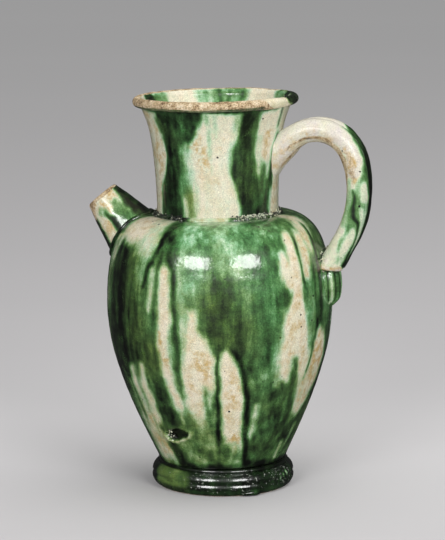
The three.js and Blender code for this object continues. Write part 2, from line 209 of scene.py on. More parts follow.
NECK_COPPER = [
    # the broad dark band towards the spout, with its pale and yellow-green edge
    (0.80, 1.0, 1.8, [(-109, 203, 21), (-113, 196, 19), (-119, 189, 10.5), (-119.5, 178, 7.6)]),
    (0.82, 1.0, 1.8, [(-119.5, 178, 7.6), (-121, 170, 8.4), (-125.5, 162, 12), (-126, 152, 14)]),
    (0.82, 1.0, 1.6, [(-126, 152, 14), (-125, 145, 14)]),
    (0.97, 0.9, 3.0, [(-122, 201, 5), (-122, 188, 4), (-123, 172, 3.5), (-128, 160, 6), (-129, 146, 7)]),
    (0.60, 0.7, 2.0, [(-106, 200, 3), (-100, 192, 4)]),
    (0.60, 0.9, 2.2, [(-108.5, 184, 2.6), (-109.5, 172, 2.8), (-109.5, 160, 3.4)]),
    (0.30, 1.0, 2.2, [(-103.5, 186, 2.4), (-103.8, 173, 3.0), (-102.5, 160, 3.4)]),
    (0.46, 0.95, 2.2, [(-102.5, 160, 4.4), (-102, 149, 5)]),
    (0.26, 0.9, 2.0, [(-96.5, 165, 1.6), (-96, 151, 1.8)]),
    # wet mint streaks in the cream
    (0.34, 0.9, 1.3, [(-85, 200, 2.2), (-84.5, 188, 1.9), (-83, 178, 1.2), (-82, 171, 0.6)]),
    (0.26, 0.9, 1.2, [(-78.6, 200, 1.8), (-78.4, 190, 1.2)]),
    # the broad dark band towards the handle
    (0.30, 0.9, 1.8, [(-60, 200, 3.4), (-61, 188, 3), (-66.5, 179, 2), (-64, 169, 2), (-59, 158, 2)]),
    (0.76, 1.0, 1.4, [(-49, 203, 8.6), (-50, 190, 8.2), (-53.5, 180, 10.6), (-52, 171, 12)]),
    (0.80, 1.0, 1.4, [(-52, 171, 12), (-48, 162, 11.6), (-44.5, 154, 11), (-42, 145, 13)]),
    (0.92, 0.8, 2.5, [(-50, 202, 4), (-52, 186, 3), (-55, 170, 4), (-51, 158, 5), (-47, 146, 6)]),
    (0.58, 0.9, 2.5, [(-31, 176, 3.0), (-32, 165, 5), (-35, 153, 5)]),
    (0.34, 0.9, 2.4, [(-36, 188, 2.4), (-35, 178, 3.4), (-38, 170, 3)]),
    (0.04, 1.0, 1.6, [(-27, 202, 5), (-28, 190, 6.4), (-29, 181, 6), (-29, 177, 3)]),
    (0.90, 0.9, 1.0, [(-16, 201, 1.2), (-15, 193, 0.8)]),
    (0.80, 1.0, 1.6, [(-13, 188, 1.2), (-16, 181, 2), (-19, 173, 3), (-23, 163, 4.2)]),
    (0.80, 1.0, 1.8, [(-23, 163, 4.2), (-27, 154, 5), (-30, 146, 6)]),
    (0.30, 0.8, 2.0, [(-20, 160, 1.4), (-23, 150, 2)]),
    # painted shade: a dark band just under the lip, on the side towards the viewer
    (0.82, 0.85, 1.0, [
        (-165, 203.2, 1.0), (-130, 203.0, 1.8), (-95, 203.2, 1.0), (-60, 203.0, 1.8), (-20, 203.2, 1.0),
    ]),
]

NECK_IRON = [
    (0.70, 0.9, 6, [(-155, 200, 26), (-156, 170, 24), (-158, 148, 22)]),
    (0.95, 0.8, 4, [(-136, 183, 2), (-139, 172, 4)]),
    (1.00, 1.0, 3.0, [(-97, 190, 3.0), (-93, 181, 7), (-88, 176, 6)]),
    (1.00, 1.0, 2.0, [(-80, 185.5, 3.4), (-72, 185.5, 4.4)]),
    (0.80, 0.9, 1.6, [(-69, 188, 2.0), (-64, 188, 1.8)]),
    (0.42, 0.8, 3.0, [(-92, 168, 5), (-74, 166, 5)]),
    (0.85, 0.9, 3.0, [(-28, 190, 4), (-26, 180, 5)]),
    (0.70, 0.9, 6, [(-6, 176, 7), (-10, 160, 7), (-12, 148, 7)]),
]

NECK_OLIVE = [
    (1.0, 0.9, 4, [(-103, 158, 6), (-102, 149, 6)]),
    (0.8, 0.8, 5, [(-126, 195, 6), (-118, 186, 5)]),
    (0.9, 0.8, 6, [(-52, 195, 8), (-50, 160, 12)]),
]

# Inside the mouth the splashes are wide stripes running down from the rim.
MOUTH_COPPER = [
    (0.86, 1.0, 2.0, [(170, 206, 8), (169, 190, 7)]),
    (0.45, 0.9, 2.5, [(152, 206, 7), (153, 192, 5)]),
    (0.42, 1.0, 2.5, [(96, 207, 23), (95, 199, 19), (94, 176, 14)]),
    (0.82, 0.8, 1.6, [(99, 208, 2.2), (97, 202, 1.6), (96, 196, 1)]),
    (0.80, 0.8, 1.4, [(90, 207, 1.0), (91, 198, 0.8)]),
    (0.66, 0.8, 1.6, [(80, 206, 1.6), (82, 196, 1.2)]),
    (0.66, 0.8, 1.6, [(110, 206, 1.6), (107, 196, 1.2)]),
    (0.48, 0.9, 2.5, [(38, 206, 7), (37, 194, 5)]),
    (0.90, 1.0, 2.0, [(22, 206, 8), (20, 192, 7)]),
    (0.70, 1.0, 3.0, [(-60, 206, 9), (-62, 185, 7)]),
    (0.80, 1.0, 3.0, [(-128, 206, 11), (-126, 180, 8)]),
    (0.30, 0.9, 3.0, [(-96, 206, 5), (-95, 190, 4)]),
]

LIP_COPPER = [
    (0.84, 1.0, 1.4, [(-14, 207.5, 3), (-4, 207, 6), (10, 206, 9), (26, 206, 7)]),
    (0.10, 0.8, 1.2, [(-33, 205, 2), (-22, 205, 2)]),
    (0.50, 0.8, 1.2, [(34, 206.5, 5), (40, 206.5, 3)]),
    # a dark band along the roll's underside, on the side towards the viewer: dark glaze edge and painted shade under
    # the roll
    (0.80, 0.9, 0.6, [(-179, 203.4, 1.2), (-120, 203.6, 1.7), (-90, 203.3, 1.1), (-42, 203.7, 1.8)]),
    (0.60, 0.7, 1.0, [(86, 207, 9)]),
]

LIP_WEAR = [
    # glaze kept on the roll's underside for that band of dark glaze edge and painted shade
    (0.25, 0.9, 0.6, [(-179, 203.4, 1.2), (-120, 203.6, 1.7), (-90, 203.3, 1.1), (-42, 203.7, 1.8)]),
    (0.0, 1.0, 0.9, [(-39, 208, 1.2), (-35, 206.5, 3), (-26, 206, 7), (10, 206, 14), (38, 206, 8)]),
    (0.35, 0.7, 2.0, [(60, 207, 14), (96, 207, 12)]),
]

FOOT_COPPER = [
    (0.52, 0.95, 2.5, [(-137, 9.5, 13), (-116, 7.5, 8)]),
    (0.90, 0.6, 3.0, [(-97, 12, 3), (-84, 12, 6)]),
    (0.92, 0.7, 2.5, [(-86, 7, 6), (-72, 7, 8)]),
    (0.84, 0.9, 1.0, [(-140, 2.0, 3), (-100, 1.6, 2.4), (-60, 1.6, 2.4), (-20, 2.2, 3)]),
    (0.90, 0.6, 3.0, [(-42, 11.5, 4), (-24, 10, 5)]),
    (0.98, 1.0, 1.2, [(-60, 6.5, 2.5), (-48, 6.5, 3.5)]),
    (0.06, 1.0, 0.7, [(-15, 9.4, 0.9), (-12, 7, 0.7)]),
    (0.06, 1.0, 0.7, [(-20, 8.5, 0.7), (-18, 6, 0.6)]),
    (0.06, 1.0, 0.7, [(-24.5, 7.5, 0.6), (-23, 5.5, 0.5)]),
]

FOOT_GRIT = [
    (0.60, 1.0, 2.5, [(-58, 9, 4), (-34, 8.5, 8), (-14, 9, 7)]),
    (0.42, 1.0, 2.5, [(-98, 9, 8), (-62, 8, 10)]),
    (0.5, 1.0, 3.0, [(40, 9, 12), (120, 9, 10)]),
]

FOOT_OLIVE = [(1.0, 0.95, 3.0, [(-137, 9, 15), (-114, 7, 10)])]

# On the handle a knot is (degrees round the roll from its outer side towards the viewer, mm from the neck, ...).
FRONT_ROLL_COPPER = [
    # green down the outer edge, and an olive wash inside the bend
    (0.70, 0.95, 1.8, [(4, 44, 8), (10, 56, 16), (14, 66, 30), (30, 72, 40)]),
    (0.28, 0.9, 1.6, [(124, 47, 10), (126, 54, 14), (140, 60, 8)]),
    (0.46, 0.95, 2.0, [(60, 72, 30), (70, 80, 50), (66, 94, 50)]),
    (0.46, 0.9, 2.0, [(130, 70, 24), (136, 82, 34), (128, 92, 30)]),
    (0.22, 0.95, 2.0, [(62, 100, 44), (74, 109, 56), (92, 118, 60)]),
    (0.84, 0.95, 1.0, [(-10, 76, 16), (-10, 92, 16), (-8, 106, 18), (10, 119, 24)]),
    # drips of pale mint, each held by a darker line
    (0.90, 1.0, 0.9, [(104, 74, 5), (100, 82, 8), (90, 88, 9), (56, 91, 6), (34, 98, 6), (28, 106, 6), (30, 119, 9)]),
    (0.66, 0.9, 0.9, [(14, 72, 5), (14, 84, 5)]),
    (0.15, 1.0, 0.8, [(46, 73, 22), (45, 78, 26)]),
    (0.19, 1.0, 0.9, [(54, 84, 13), (34, 90, 16), (16, 99, 10)]),
    (0.14, 0.95, 1.6, [(140, 99, 20), (126, 108, 28), (112, 115, 36)]),
    (0.55, 0.9, 1.0, [(104, 93, 8), (98, 101, 7), (88, 109, 6)]),
    (0.12, 1.0, 0.8, [(72, 95, 12), (66, 99.5, 20), (58, 105, 16)]),
    (0.40, 0.8, 1.4, [(70, 112, 12), (60, 117, 8)]),
    (0.04, 1.0, 0.8, [(30, 122.5, 12), (80, 122.5, 15), (130, 122.5, 15), (180, 122.5, 12)]),
]

FRONT_ROLL_IRON = [
    (0.55, 0.9, 3.0, [(110, 4, 44), (112, 24, 34), (116, 42, 30)]),
    (1.0, 1.0, 1.0, [(92, 52, 18), (98, 60, 30), (100, 68, 24)]),
    (0.9, 0.9, 2.0, [(150, 70, 24), (154, 90, 24)]),
    (1.0, 1.0, 1.0, [(30, 122, 12), (80, 122, 14), (130, 122, 14), (180, 122, 12)]),
]

FRONT_ROLL_WEAR = [
    (0.46, 1.0, 1.2, [(92, 53, 14), (98, 60, 24), (100, 67, 18)]),
    # bare clay along the inner side of the roll's bend, towards the viewer and round the inside: partly crawled
    # glaze, partly painted shade inside the bend
    (0.75, 1.0, 1.3, [(110, 13, 5), (116, 22, 8), (120, 32, 10), (126, 44, 13), (140, 54, 22), (156, 66, 18)]),
    (0.65, 0.9, 1.6, [(176, 8, 34), (176, 30, 26), (172, 46, 32), (172, 60, 30), (174, 88, 26)]),
    (0.42, 0.8, 0.8, [(60, 122.6, 9), (120, 122.6, 10), (180, 122.6, 9)]),
]

BACK_ROLL_COPPER = [
    (0.90, 1.0, 2.0, [(0, 50, 60), (0, 64, 90), (-10, 84, 110), (-10, 104, 110), (0, 124, 110)]),
    (0.52, 0.9, 3.0, [(-100, 56, 30), (-104, 80, 40)]),
    (0.14, 0.9, 1.6, [(-70, 84, 18), (-66, 96, 15)]),
    (0.94, 0.9, 1.4, [(30, 60, 30), (30, 90, 34), (30, 118, 34)]),
    (0.10, 0.9, 2.0, [(-90, 112, 22), (-88, 121, 26)]),
]

# bare clay round the inside of the bend: partly crawled glaze, partly painted shade
BACK_ROLL_WEAR = [(0.5, 0.8, 2.0, [(176, 8, 30), (176, 55, 26), (178, 90, 24)])]

# On the spout a knot is (degrees round it from its upper side towards the viewer, mm from its tip, ...).
SPOUT_COPPER = [
    (0.88, 1.0, 2.0, [(0, 4, 34), (4, 14, 44), (4, 28, 50)]),
    (0.52, 1.0, 1.6, [(62, 9, 14), (66, 16, 20), (68, 24, 24)]),
    (0.90, 0.95, 1.0, [(96, 10, 6), (90, 15, 8), (92, 20, 7), (84, 27, 9)]),
    (0.55, 0.8, 1.2, [(104, 8, 12), (92, 9, 5)]),
    (0.05, 1.0, 1.2, [(120, 12, 12), (116, 20, 16), (110, 30, 18)]),
    (0.92, 0.95, 2.0, [(168, 8, 26), (170, 18, 34), (168, 32, 36)]),
    (0.85, 0.9, 3.0, [(-90, 10, 22), (-92, 30, 28)]),
]

SPOUT_IRON = [
    (0.85, 0.9, 1.6, [(-180, 1, 90), (0, 1, 90), (180, 1, 90)]),
    (0.45, 0.8, 2.0, [(120, 14, 16), (124, 26, 18)]),
]

SPOUT_WEAR = [
    (0.9, 1.0, 0.8, [(-180, 0, 12), (0, 0, 12), (180, 0, 12)]),
    (0.7, 0.9, 1.4, [(134, 2, 20), (150, 6, 16)]),
]

# On the leaf a knot is (degrees round it from its outward side, height, ...).
LEAF_COPPER = [
    (0.97, 1.0, 0.7, [(-98, 126, 7), (-96, 92, 7)]),
    (0.93, 0.9, 0.6, [(-70, 126, 2.5), (-71, 94, 3)]),
    (0.28, 0.95, 0.8, [(-57, 124, 4), (-58, 108, 6), (-60, 94, 6)]),
    (0.86, 0.8, 0.8, [(-38, 122, 4), (-36, 100, 3)]),
    (0.92, 0.9, 1.0, [(-8, 122, 5), (-6, 96, 6)]),
    (0.34, 0.9, 1.0, [(14, 122, 6), (12, 98, 5)]),
    (0.92, 0.9, 1.0, [(30, 122, 4), (28, 98, 4)]),
    (0.36, 0.9, 1.0, [(50, 120, 7), (50, 100, 6)]),
    (0.93, 0.9, 1.0, [(74, 120, 8), (76, 96, 8)]),
]


def wrapped(degrees):
    """Angles brought to between -180 and 180."""
    return (np.asarray(degrees) + 180) % 360 - 180


def soft_step(outer, inner, value):
    """0 beyond `outer`, 1 beyond `inner`, smooth between."""
    t = np.clip((value - outer) / (inner - outer), 0, 1)
    return t * t * (3 - 2 * t)


def distance_outside(knots, bearing, height, radius):
    """How far each point lies outside a mark's band, in millimetres, negative inside it."""
    per_degree = radius * math.pi / 180
    nearest = np.full(len(bearing), np.inf)
    for (b0, h0, w0), (b1, h1, w1) in zip(knots, knots[1:] or knots):
        across = wrapped(bearing - b0) * per_degree
        run = (b1 - b0) * per_degree
        rise = h1 - h0
        length = np.maximum(run * run + rise * rise, 1e-6)
        along = np.clip((across * run + (height - h0) * rise) / length, 0, 1)
        away = np.hypot(across - along * run, height - h0 - along * rise)
        nearest = np.minimum(nearest, away - (w0 + along * (w1 - w0)) * per_degree)
    return nearest


def glazed(ground, marks, bearing, height, radius, fringe=0.0):
    """A level for every point: the ground with each mark laid over it in turn.

    Where copper glaze meets bare cream it thins to a pale mint fringe this many millimetres wide.
    """
    level = np.full(len(bearing), float(ground)) if np.isscalar(ground) else ground.copy()
    for value, strength, softness, knots in marks:
        edge = distance_outside(knots, bearing, height, radius)
        if fringe:
            near = soft_step(softness + fringe, 0.2 * softness, edge)
            if value < 0.15:
                level += 0.85 * strength * near * (np.minimum(level, 0.22) - level)
            elif value > 0.5:
                level = np.maximum(level, 0.24 * strength * near)
        level += strength * soft_step(softness, -softness, edge) * (value - level)
    return level


def unevenness(points, size, seed):
    """Three smooth random numbers for every point, mostly from -0.7 to 0.7, that change over about `size` mm."""
    lattice = np.random.default_rng(seed).uniform(-0.9, 0.9, (48, 48, 48, 3))
    place = np.asarray(points) / size
    cell = np.floor(place).astype(int)
    t = place - cell
    t = t * t * (3 - 2 * t)
    total = 0
    for corner in np.ndindex(2, 2, 2):
        x, y, z = ((cell + corner) % 48).T
        weight = np.prod(np.where(corner, t, 1 - t), axis=1)
        total = total + weight[:, None] * lattice[x, y, z]
    return total


def far_side_marks(seed, low, high, bearings):
    """Marks for the sides that are seen less: tongues of cream between dark runs, placed by the seed."""
    draw = random.Random(seed)
    marks = []
    for bearing in bearings:
        at = bearing + draw.uniform(-4, 4)
        top = low + (high - low) * draw.uniform(0.45, 0.95)
        foot = low + (high - low) * draw.uniform(0.0, 0.3)
        half = draw.uniform(2.6, 8.5)
        sway = draw.uniform(-4, 4)
        middle = (top + foot) / 2
        kind = draw.choice(["cream", "cream", "mint", "dark", "wash"])
        if kind in ("cream", "mint"):
            level = 0.03 if kind == "cream" else 0.3
            marks.append((0.36, 0.8, 3.0, [(at - half - 1, top - 6, 1.5), (at + sway - half - 1, foot, 2)]))
            marks.append((level, 1.0, 1.6, [
                (at, top, half * 0.4), (at, top - 5, half * 0.75), (at + sway / 2, middle, half),
                (at + sway, foot, half * 0.7),
            ]))
            side = draw.choice((-1, 1)) * (half + 1.6)
            marks.append((0.94, 1.0, 1.2, [
                (at, top + 6, 0.8), (at + sway / 2 + side, middle, 1.3), (at + sway + side, foot, 1.8),
            ]))
        else:
            level = 0.88 if kind == "dark" else 0.5
            marks.append((level, 0.85, 5.0, [(at, top, half), (at + sway, foot, half * 1.3)]))
    return marks


# ---- outlines, as [radius, height] pairs in millimetres ----
BELLY_SHARES = [
    (0.565, 0), (0.699, 0.13), (0.807, 0.245), (0.897, 0.36), (0.965, 0.475), (0.998, 0.59), (1, 0.665),
    (0.991, 0.74), (0.972, 0.804), (0.943, 0.862), (0.9, 0.912), (0.845, 0.949), (0.78, 0.975), (0.7, 0.993),
    (0.61, 1),
]
HANDLE_ROUTE = [
    (28, 174), (35.4, 179.8), (41.2, 185.5), (48, 189.1), (56, 190), (64, 187.6), (70.3, 181.9), (74.2, 174),
    (76, 164.4), (76, 156), (74.7, 147.6), (71.6, 138), (67.4, 130), (63.1, 122.6), (57.8, 114.8),
]


def smooth_line(points, spacing):
    """A smooth curve through points, as evenly spaced points about `spacing` apart."""
    p = np.array(points, float)
    p = np.vstack([2 * p[0] - p[1], p, 2 * p[-1] - p[-2]])
    fine = []
    for a, b, c, d in zip(p, p[1:], p[2:], p[3:]):
        for t in np.linspace(0, 1, 24, endpoint=False):
            fine.append(
                0.5 * (2 * b + (c - a) * t + (2 * a - 5 * b + 4 * c - d) * t**2 + (3 * b - a - 3 * c + d) * t**3)
            )
    fine = np.array(fine + [p[-2]])
    length = np.concatenate([[0], np.cumsum(np.linalg.norm(np.diff(fine, axis=0), axis=1))])
    count = max(2, round(length[-1] / spacing) + 1)
    even = np.linspace(0, length[-1], count)
    return list(zip(*(np.interp(even, length, fine[:, k]) for k in range(fine.shape[1]))))


def arc(radius, height, reach, start, end, count):
    """Points of an arc in an outline, from one angle to another in degrees."""
    angles = np.radians(np.linspace(start, end, count + 1))
    return [(radius + reach * math.cos(a), height + reach * math.sin(a)) for a in angles]


def belly_outside(spacing):
    """The thrown belly's outer profile, from its joint with the foot to the neck."""
    return smooth_line([(r * BELLY_RADIUS, JOINT_HEIGHT + h * BELLY_HEIGHT) for r, h in BELLY_SHARES], spacing)


def neck_outside(spacing):
    """The neck's outer profile, from the shoulder up to the roll."""
    shape = [(0.4, -1.2), (0, 6), (0.6, 21), (1.9, 36), (3.5, 46), (5.4, 52), (7.2, 56.6)]
    return smooth_line([(NECK_RADIUS + r, NECK_BASE + h) for r, h in shape], spacing)


def neck_inside(spacing):
    """The neck's inner profile, from the roll's crown down to the throat."""
    return smooth_line([
        (ROLL_CENTRE - 2.7, LIP_HEIGHT + 1.0), (ROLL_CENTRE - 3.4, LIP_HEIGHT - 1.5), (35.4, NECK_BASE + 53.9),
        (31.2, NECK_BASE + 44), (THROAT_RADIUS + 0.6, NECK_BASE + 26), (THROAT_RADIUS, NECK_BASE - 1.2),
    ], spacing)


FOOT_OUTLINE = [
    (FOOT_RADIUS - 3.2, 0), (FOOT_RADIUS - 1.5, 1.1), (FOOT_RADIUS - 0.3, 3.2), (FOOT_RADIUS - 0.1, 4.8),
    (FOOT_RADIUS - 0.7, 6.5), (FOOT_RADIUS - 0.3, 8.2), (FOOT_RADIUS - 1.4, 10.6), (FOOT_RADIUS - 3.1, 11.9),
    (FOOT_RADIUS - 4.5, 12.4), (FOOT_RADIUS - 5.4, 13.2),
]


# ---- mesh making ----
def turned(outline, steps):
    """A closed outline spun once round the pot's axis in a quarter of the steps, each then cut in four."""
    bm = bmesh.new()
    verts = [bm.verts.new((r, 0, h)) for r, h in outline]
    edges = [bm.edges.new(pair) for pair in zip(verts, verts[1:] + verts[:1])]
    coarse = steps // 4
    bmesh.ops.spin(
        bm, geom=verts + edges, cent=(0, 0, 0), axis=(0, 0, 1), angle=2 * math.pi, steps=coarse, use_merge=True
    )
    bmesh.ops.remove_doubles(bm, verts=bm.verts, dist=1e-4)
    level = [
        e for e in bm.edges
        if abs(e.verts[0].co.z - e.verts[1].co.z) < 1e-4
        and abs(e.verts[0].co.xy.length - e.verts[1].co.xy.length) < 1e-4
    ]
    bmesh.ops.subdivide_edges(bm, edges=level, cuts=3, use_grid_fill=True)
    step = 2 * math.pi / coarse
    for v in bm.verts:
        within = math.atan2(v.co.y, v.co.x) % step
        v.co.xy *= math.cos(within - step / 2) / math.cos(step / 2)
    bmesh.ops.recalc_face_normals(bm, faces=bm.faces)
    return bm


def ring_start(sides, capped):
    """A mesh holding one ring of unit radius, where each vertex knows its turn in degrees; its edges come too."""
    bm = bmesh.new()
    bm.verts.layers.int.new("ring")
    turn = bm.verts.layers.float.new("turn")
    for v in bmesh.ops.create_circle(bm, cap_ends=capped, radius=1, segments=sides)["verts"]:
        v[turn] = math.degrees(math.atan2(v.co.y, v.co.x))
    return bm, list(bm.edges)


def grow_rings(bm, ring_edges, frames):
    """Extrudes the ring once for each frame after the first, and returns the edges of the last ring.

    A frame is (centre, radius, direction of turn 0, direction of turn -90).
    """
    turn = bm.verts.layers.float["turn"]
    number = bm.verts.layers.int["ring"]
    for i, (centre, radius, out, across) in enumerate(frames):
        if i:
            grown = bmesh.ops.extrude_edge_only(bm, edges=ring_edges)["geom"]
            ring_edges = [g for g in grown if isinstance(g, bmesh.types.BMEdge)]
        for v in {v for e in ring_edges for v in e.verts}:
            angle = math.radians(v[turn])
            v.co = Vector(centre) + float(radius) * (math.cos(angle) * out - math.sin(angle) * across)
            v[number] = i
    return ring_edges


def turns_and_rings(bm):
    """For each vertex of a grown mesh, the degrees round its ring and the ring's number."""
    turn = bm.verts.layers.float["turn"]
    number = bm.verts.layers.int["ring"]
    return np.array([v[turn] for v in bm.verts]), np.array([v[number] for v in bm.verts])


def swept(centres, radii, sides):
    """A solid roll along centres in a plane of constant Y, with a radius at each, closed at both ends.

    Turn 0 is the outer side of the bend and turn 90 faces the viewer.
    """
    bm, ring_edges = ring_start(sides, True)
    frames = []
    for i, (centre, radius) in enumerate(zip(centres, radii)):
        ahead = Vector(centres[min(i + 1, len(centres) - 1)]) - Vector(centres[max(i - 1, 0)])
        frames.append((centre, radius, ahead.cross(SIDEWAYS).normalized(), SIDEWAYS))
    ring_edges = grow_rings(bm, ring_edges, frames)
    bmesh.ops.contextual_create(bm, geom=ring_edges)
    bmesh.ops.recalc_face_normals(bm, faces=bm.faces)
    return bm


def looped(frames, sides):
    """A skin through every frame and back to the first, such as a ring of clay or a tube with a bore."""
    bm, first_edges = ring_start(sides, False)
    last_edges = grow_rings(bm, first_edges, frames)
    bmesh.ops.bridge_loops(bm, edges=first_edges + last_edges)
    bmesh.ops.recalc_face_normals(bm, faces=bm.faces)
    return bm


def places(bm):
    """Every vertex's place, with its bearing, height and radius about the pot's axis."""
    co = np.array([v.co for v in bm.verts])
    return co, np.degrees(np.arctan2(co[:, 1], co[:, 0])), co[:, 2], np.hypot(co[:, 0], co[:, 1])


def move(bm, co):
    """Puts every vertex where the table says."""
    for v, place in zip(bm.verts, co):
        v.co = place


UPRIGHT_TO_LEANING = (
    Matrix.Scale(MM, 4)
    @ Matrix.Translation((0, 0, JOINT_HEIGHT))
    @ Matrix.Rotation(-LEAN, 4, "Y")
    @ Matrix.Translation((0, 0, -JOINT_HEIGHT))
)
UPRIGHT = Matrix.Scale(MM, 4)


def finished(bm, name, material, levels, node=None, leaning=True):
    """Turns a mesh made in millimetres into a piece of the pot, with its glaze levels as attributes."""
    bmesh.ops.transform(bm, matrix=UPRIGHT_TO_LEANING if leaning else UPRIGHT, verts=bm.verts)
    mesh = bpy.data.meshes.new(name)
    bm.to_mesh(mesh)
    bm.free()
    for layer in ("ring", "turn", "paleness"):
        if layer in mesh.attributes:
            mesh.attributes.remove(mesh.attributes[layer])
    for title in LEVELS:
        values = np.clip(levels.get(title, np.zeros(len(mesh.vertices))), 0, 1)
        mesh.attributes.new(title, "FLOAT", "POINT").data.foreach_set("value", values.astype(np.float32))
    mesh.shade_smooth()
    piece = bpy.data.objects.new(name, mesh)
    bpy.context.scene.collection.objects.link(piece)
    mesh.materials.append(material)
    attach(piece, BODY)
    if node:
        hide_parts(node)
    return piece


# ---- materials ----
def linear(hex_colour):
    """An sRGB hex colour as linear red, green, blue and alpha."""
    channels = [int(hex_colour[i : i + 2], 16) / 255 for i in (1, 3, 5)]
    return (*(c / 12.92 if c <= 0.04045 else ((c + 0.055) / 1.055) ** 2.4 for c in channels), 1.0)


def add(tree, kind, inputs=None, stops=None, **settings):
    """Adds a node with its settings. An input is a value, a socket, or a node whose first open output feeds it."""
    node = tree.nodes.new(kind)
    for name, value in settings.items():
        setattr(node, name, value)
    for name, value in (inputs or {}).items():
        if isinstance(value, bpy.types.Node):
            value = next(socket for socket in value.outputs if socket.enabled)
        if isinstance(value, bpy.types.NodeSocket):
            tree.links.new(value, node.inputs[name])
        else:
            node.inputs[name].default_value = value
    if stops:
        elements = node.color_ramp.elements
        while len(elements) < len(stops):
            elements.new(1.0)
        for element, (position, colour) in zip(elements, stops):
            element.position = position
            element.color = colour
    return node


def per_metre(millimetres):
    """The texture scale whose features are about this size."""
    return 1 / (millimetres * MM)


# The glaze's patterns, each with the size of its features in millimetres, its detail and roughness, and the
# scale along X, Y and Z that draws it out.
GLAZE_PATTERNS = {
    "clouds": (7, 4, 0.65, (1, 1, 1)),
    "streaks": (3.2, 2, 0.5, (1, 1, 0.16)),
    "curtains": (8, 2, 0.5, (1, 1, 0.14)),
    "turning lines": (2.6, 2, 0.5, (0.12, 0.12, 1)),
    "grain": (0.9, 3, 0.75, (1, 1, 1)),
    "warmth": (11, 2, 0.6, (1, 1, 1)),
    "iron blotches": (5, 5, 0.66, (1, 1, 1)),
    "iron flecks": (1, 4, 0.85, (1, 1, 1)),
    "worn edges": (1.6, 3, 0.7, (1, 1, 1)),
    "clay grit": (0.8, 5, 0.8, (1, 1, 1)),
    "clay clouds": (4.5, 4, 0.6, (1, 1, 1)),
    "pepper": (0.5, 2, 0.85, (1, 1, 1)),
    "grit patches": (3.5, 3, 0.6, (1, 1, 1)),
    "orange peel": (1.7, 2, 0.6, (1, 1, 1)),
    "swells": (6, 2, 0.6, (1, 1, 1)),
    "standing grit": (0.7, 3, 0.7, (1, 1, 1)),
}
RUNNING = {"clouds": 1.0, "streaks": 1.0, "curtains": 1.0, "turning lines": 0.2, "grain": 0.75}
PINHOLE_SPACING = 4.4
GRAIN_SIZE = 0.55


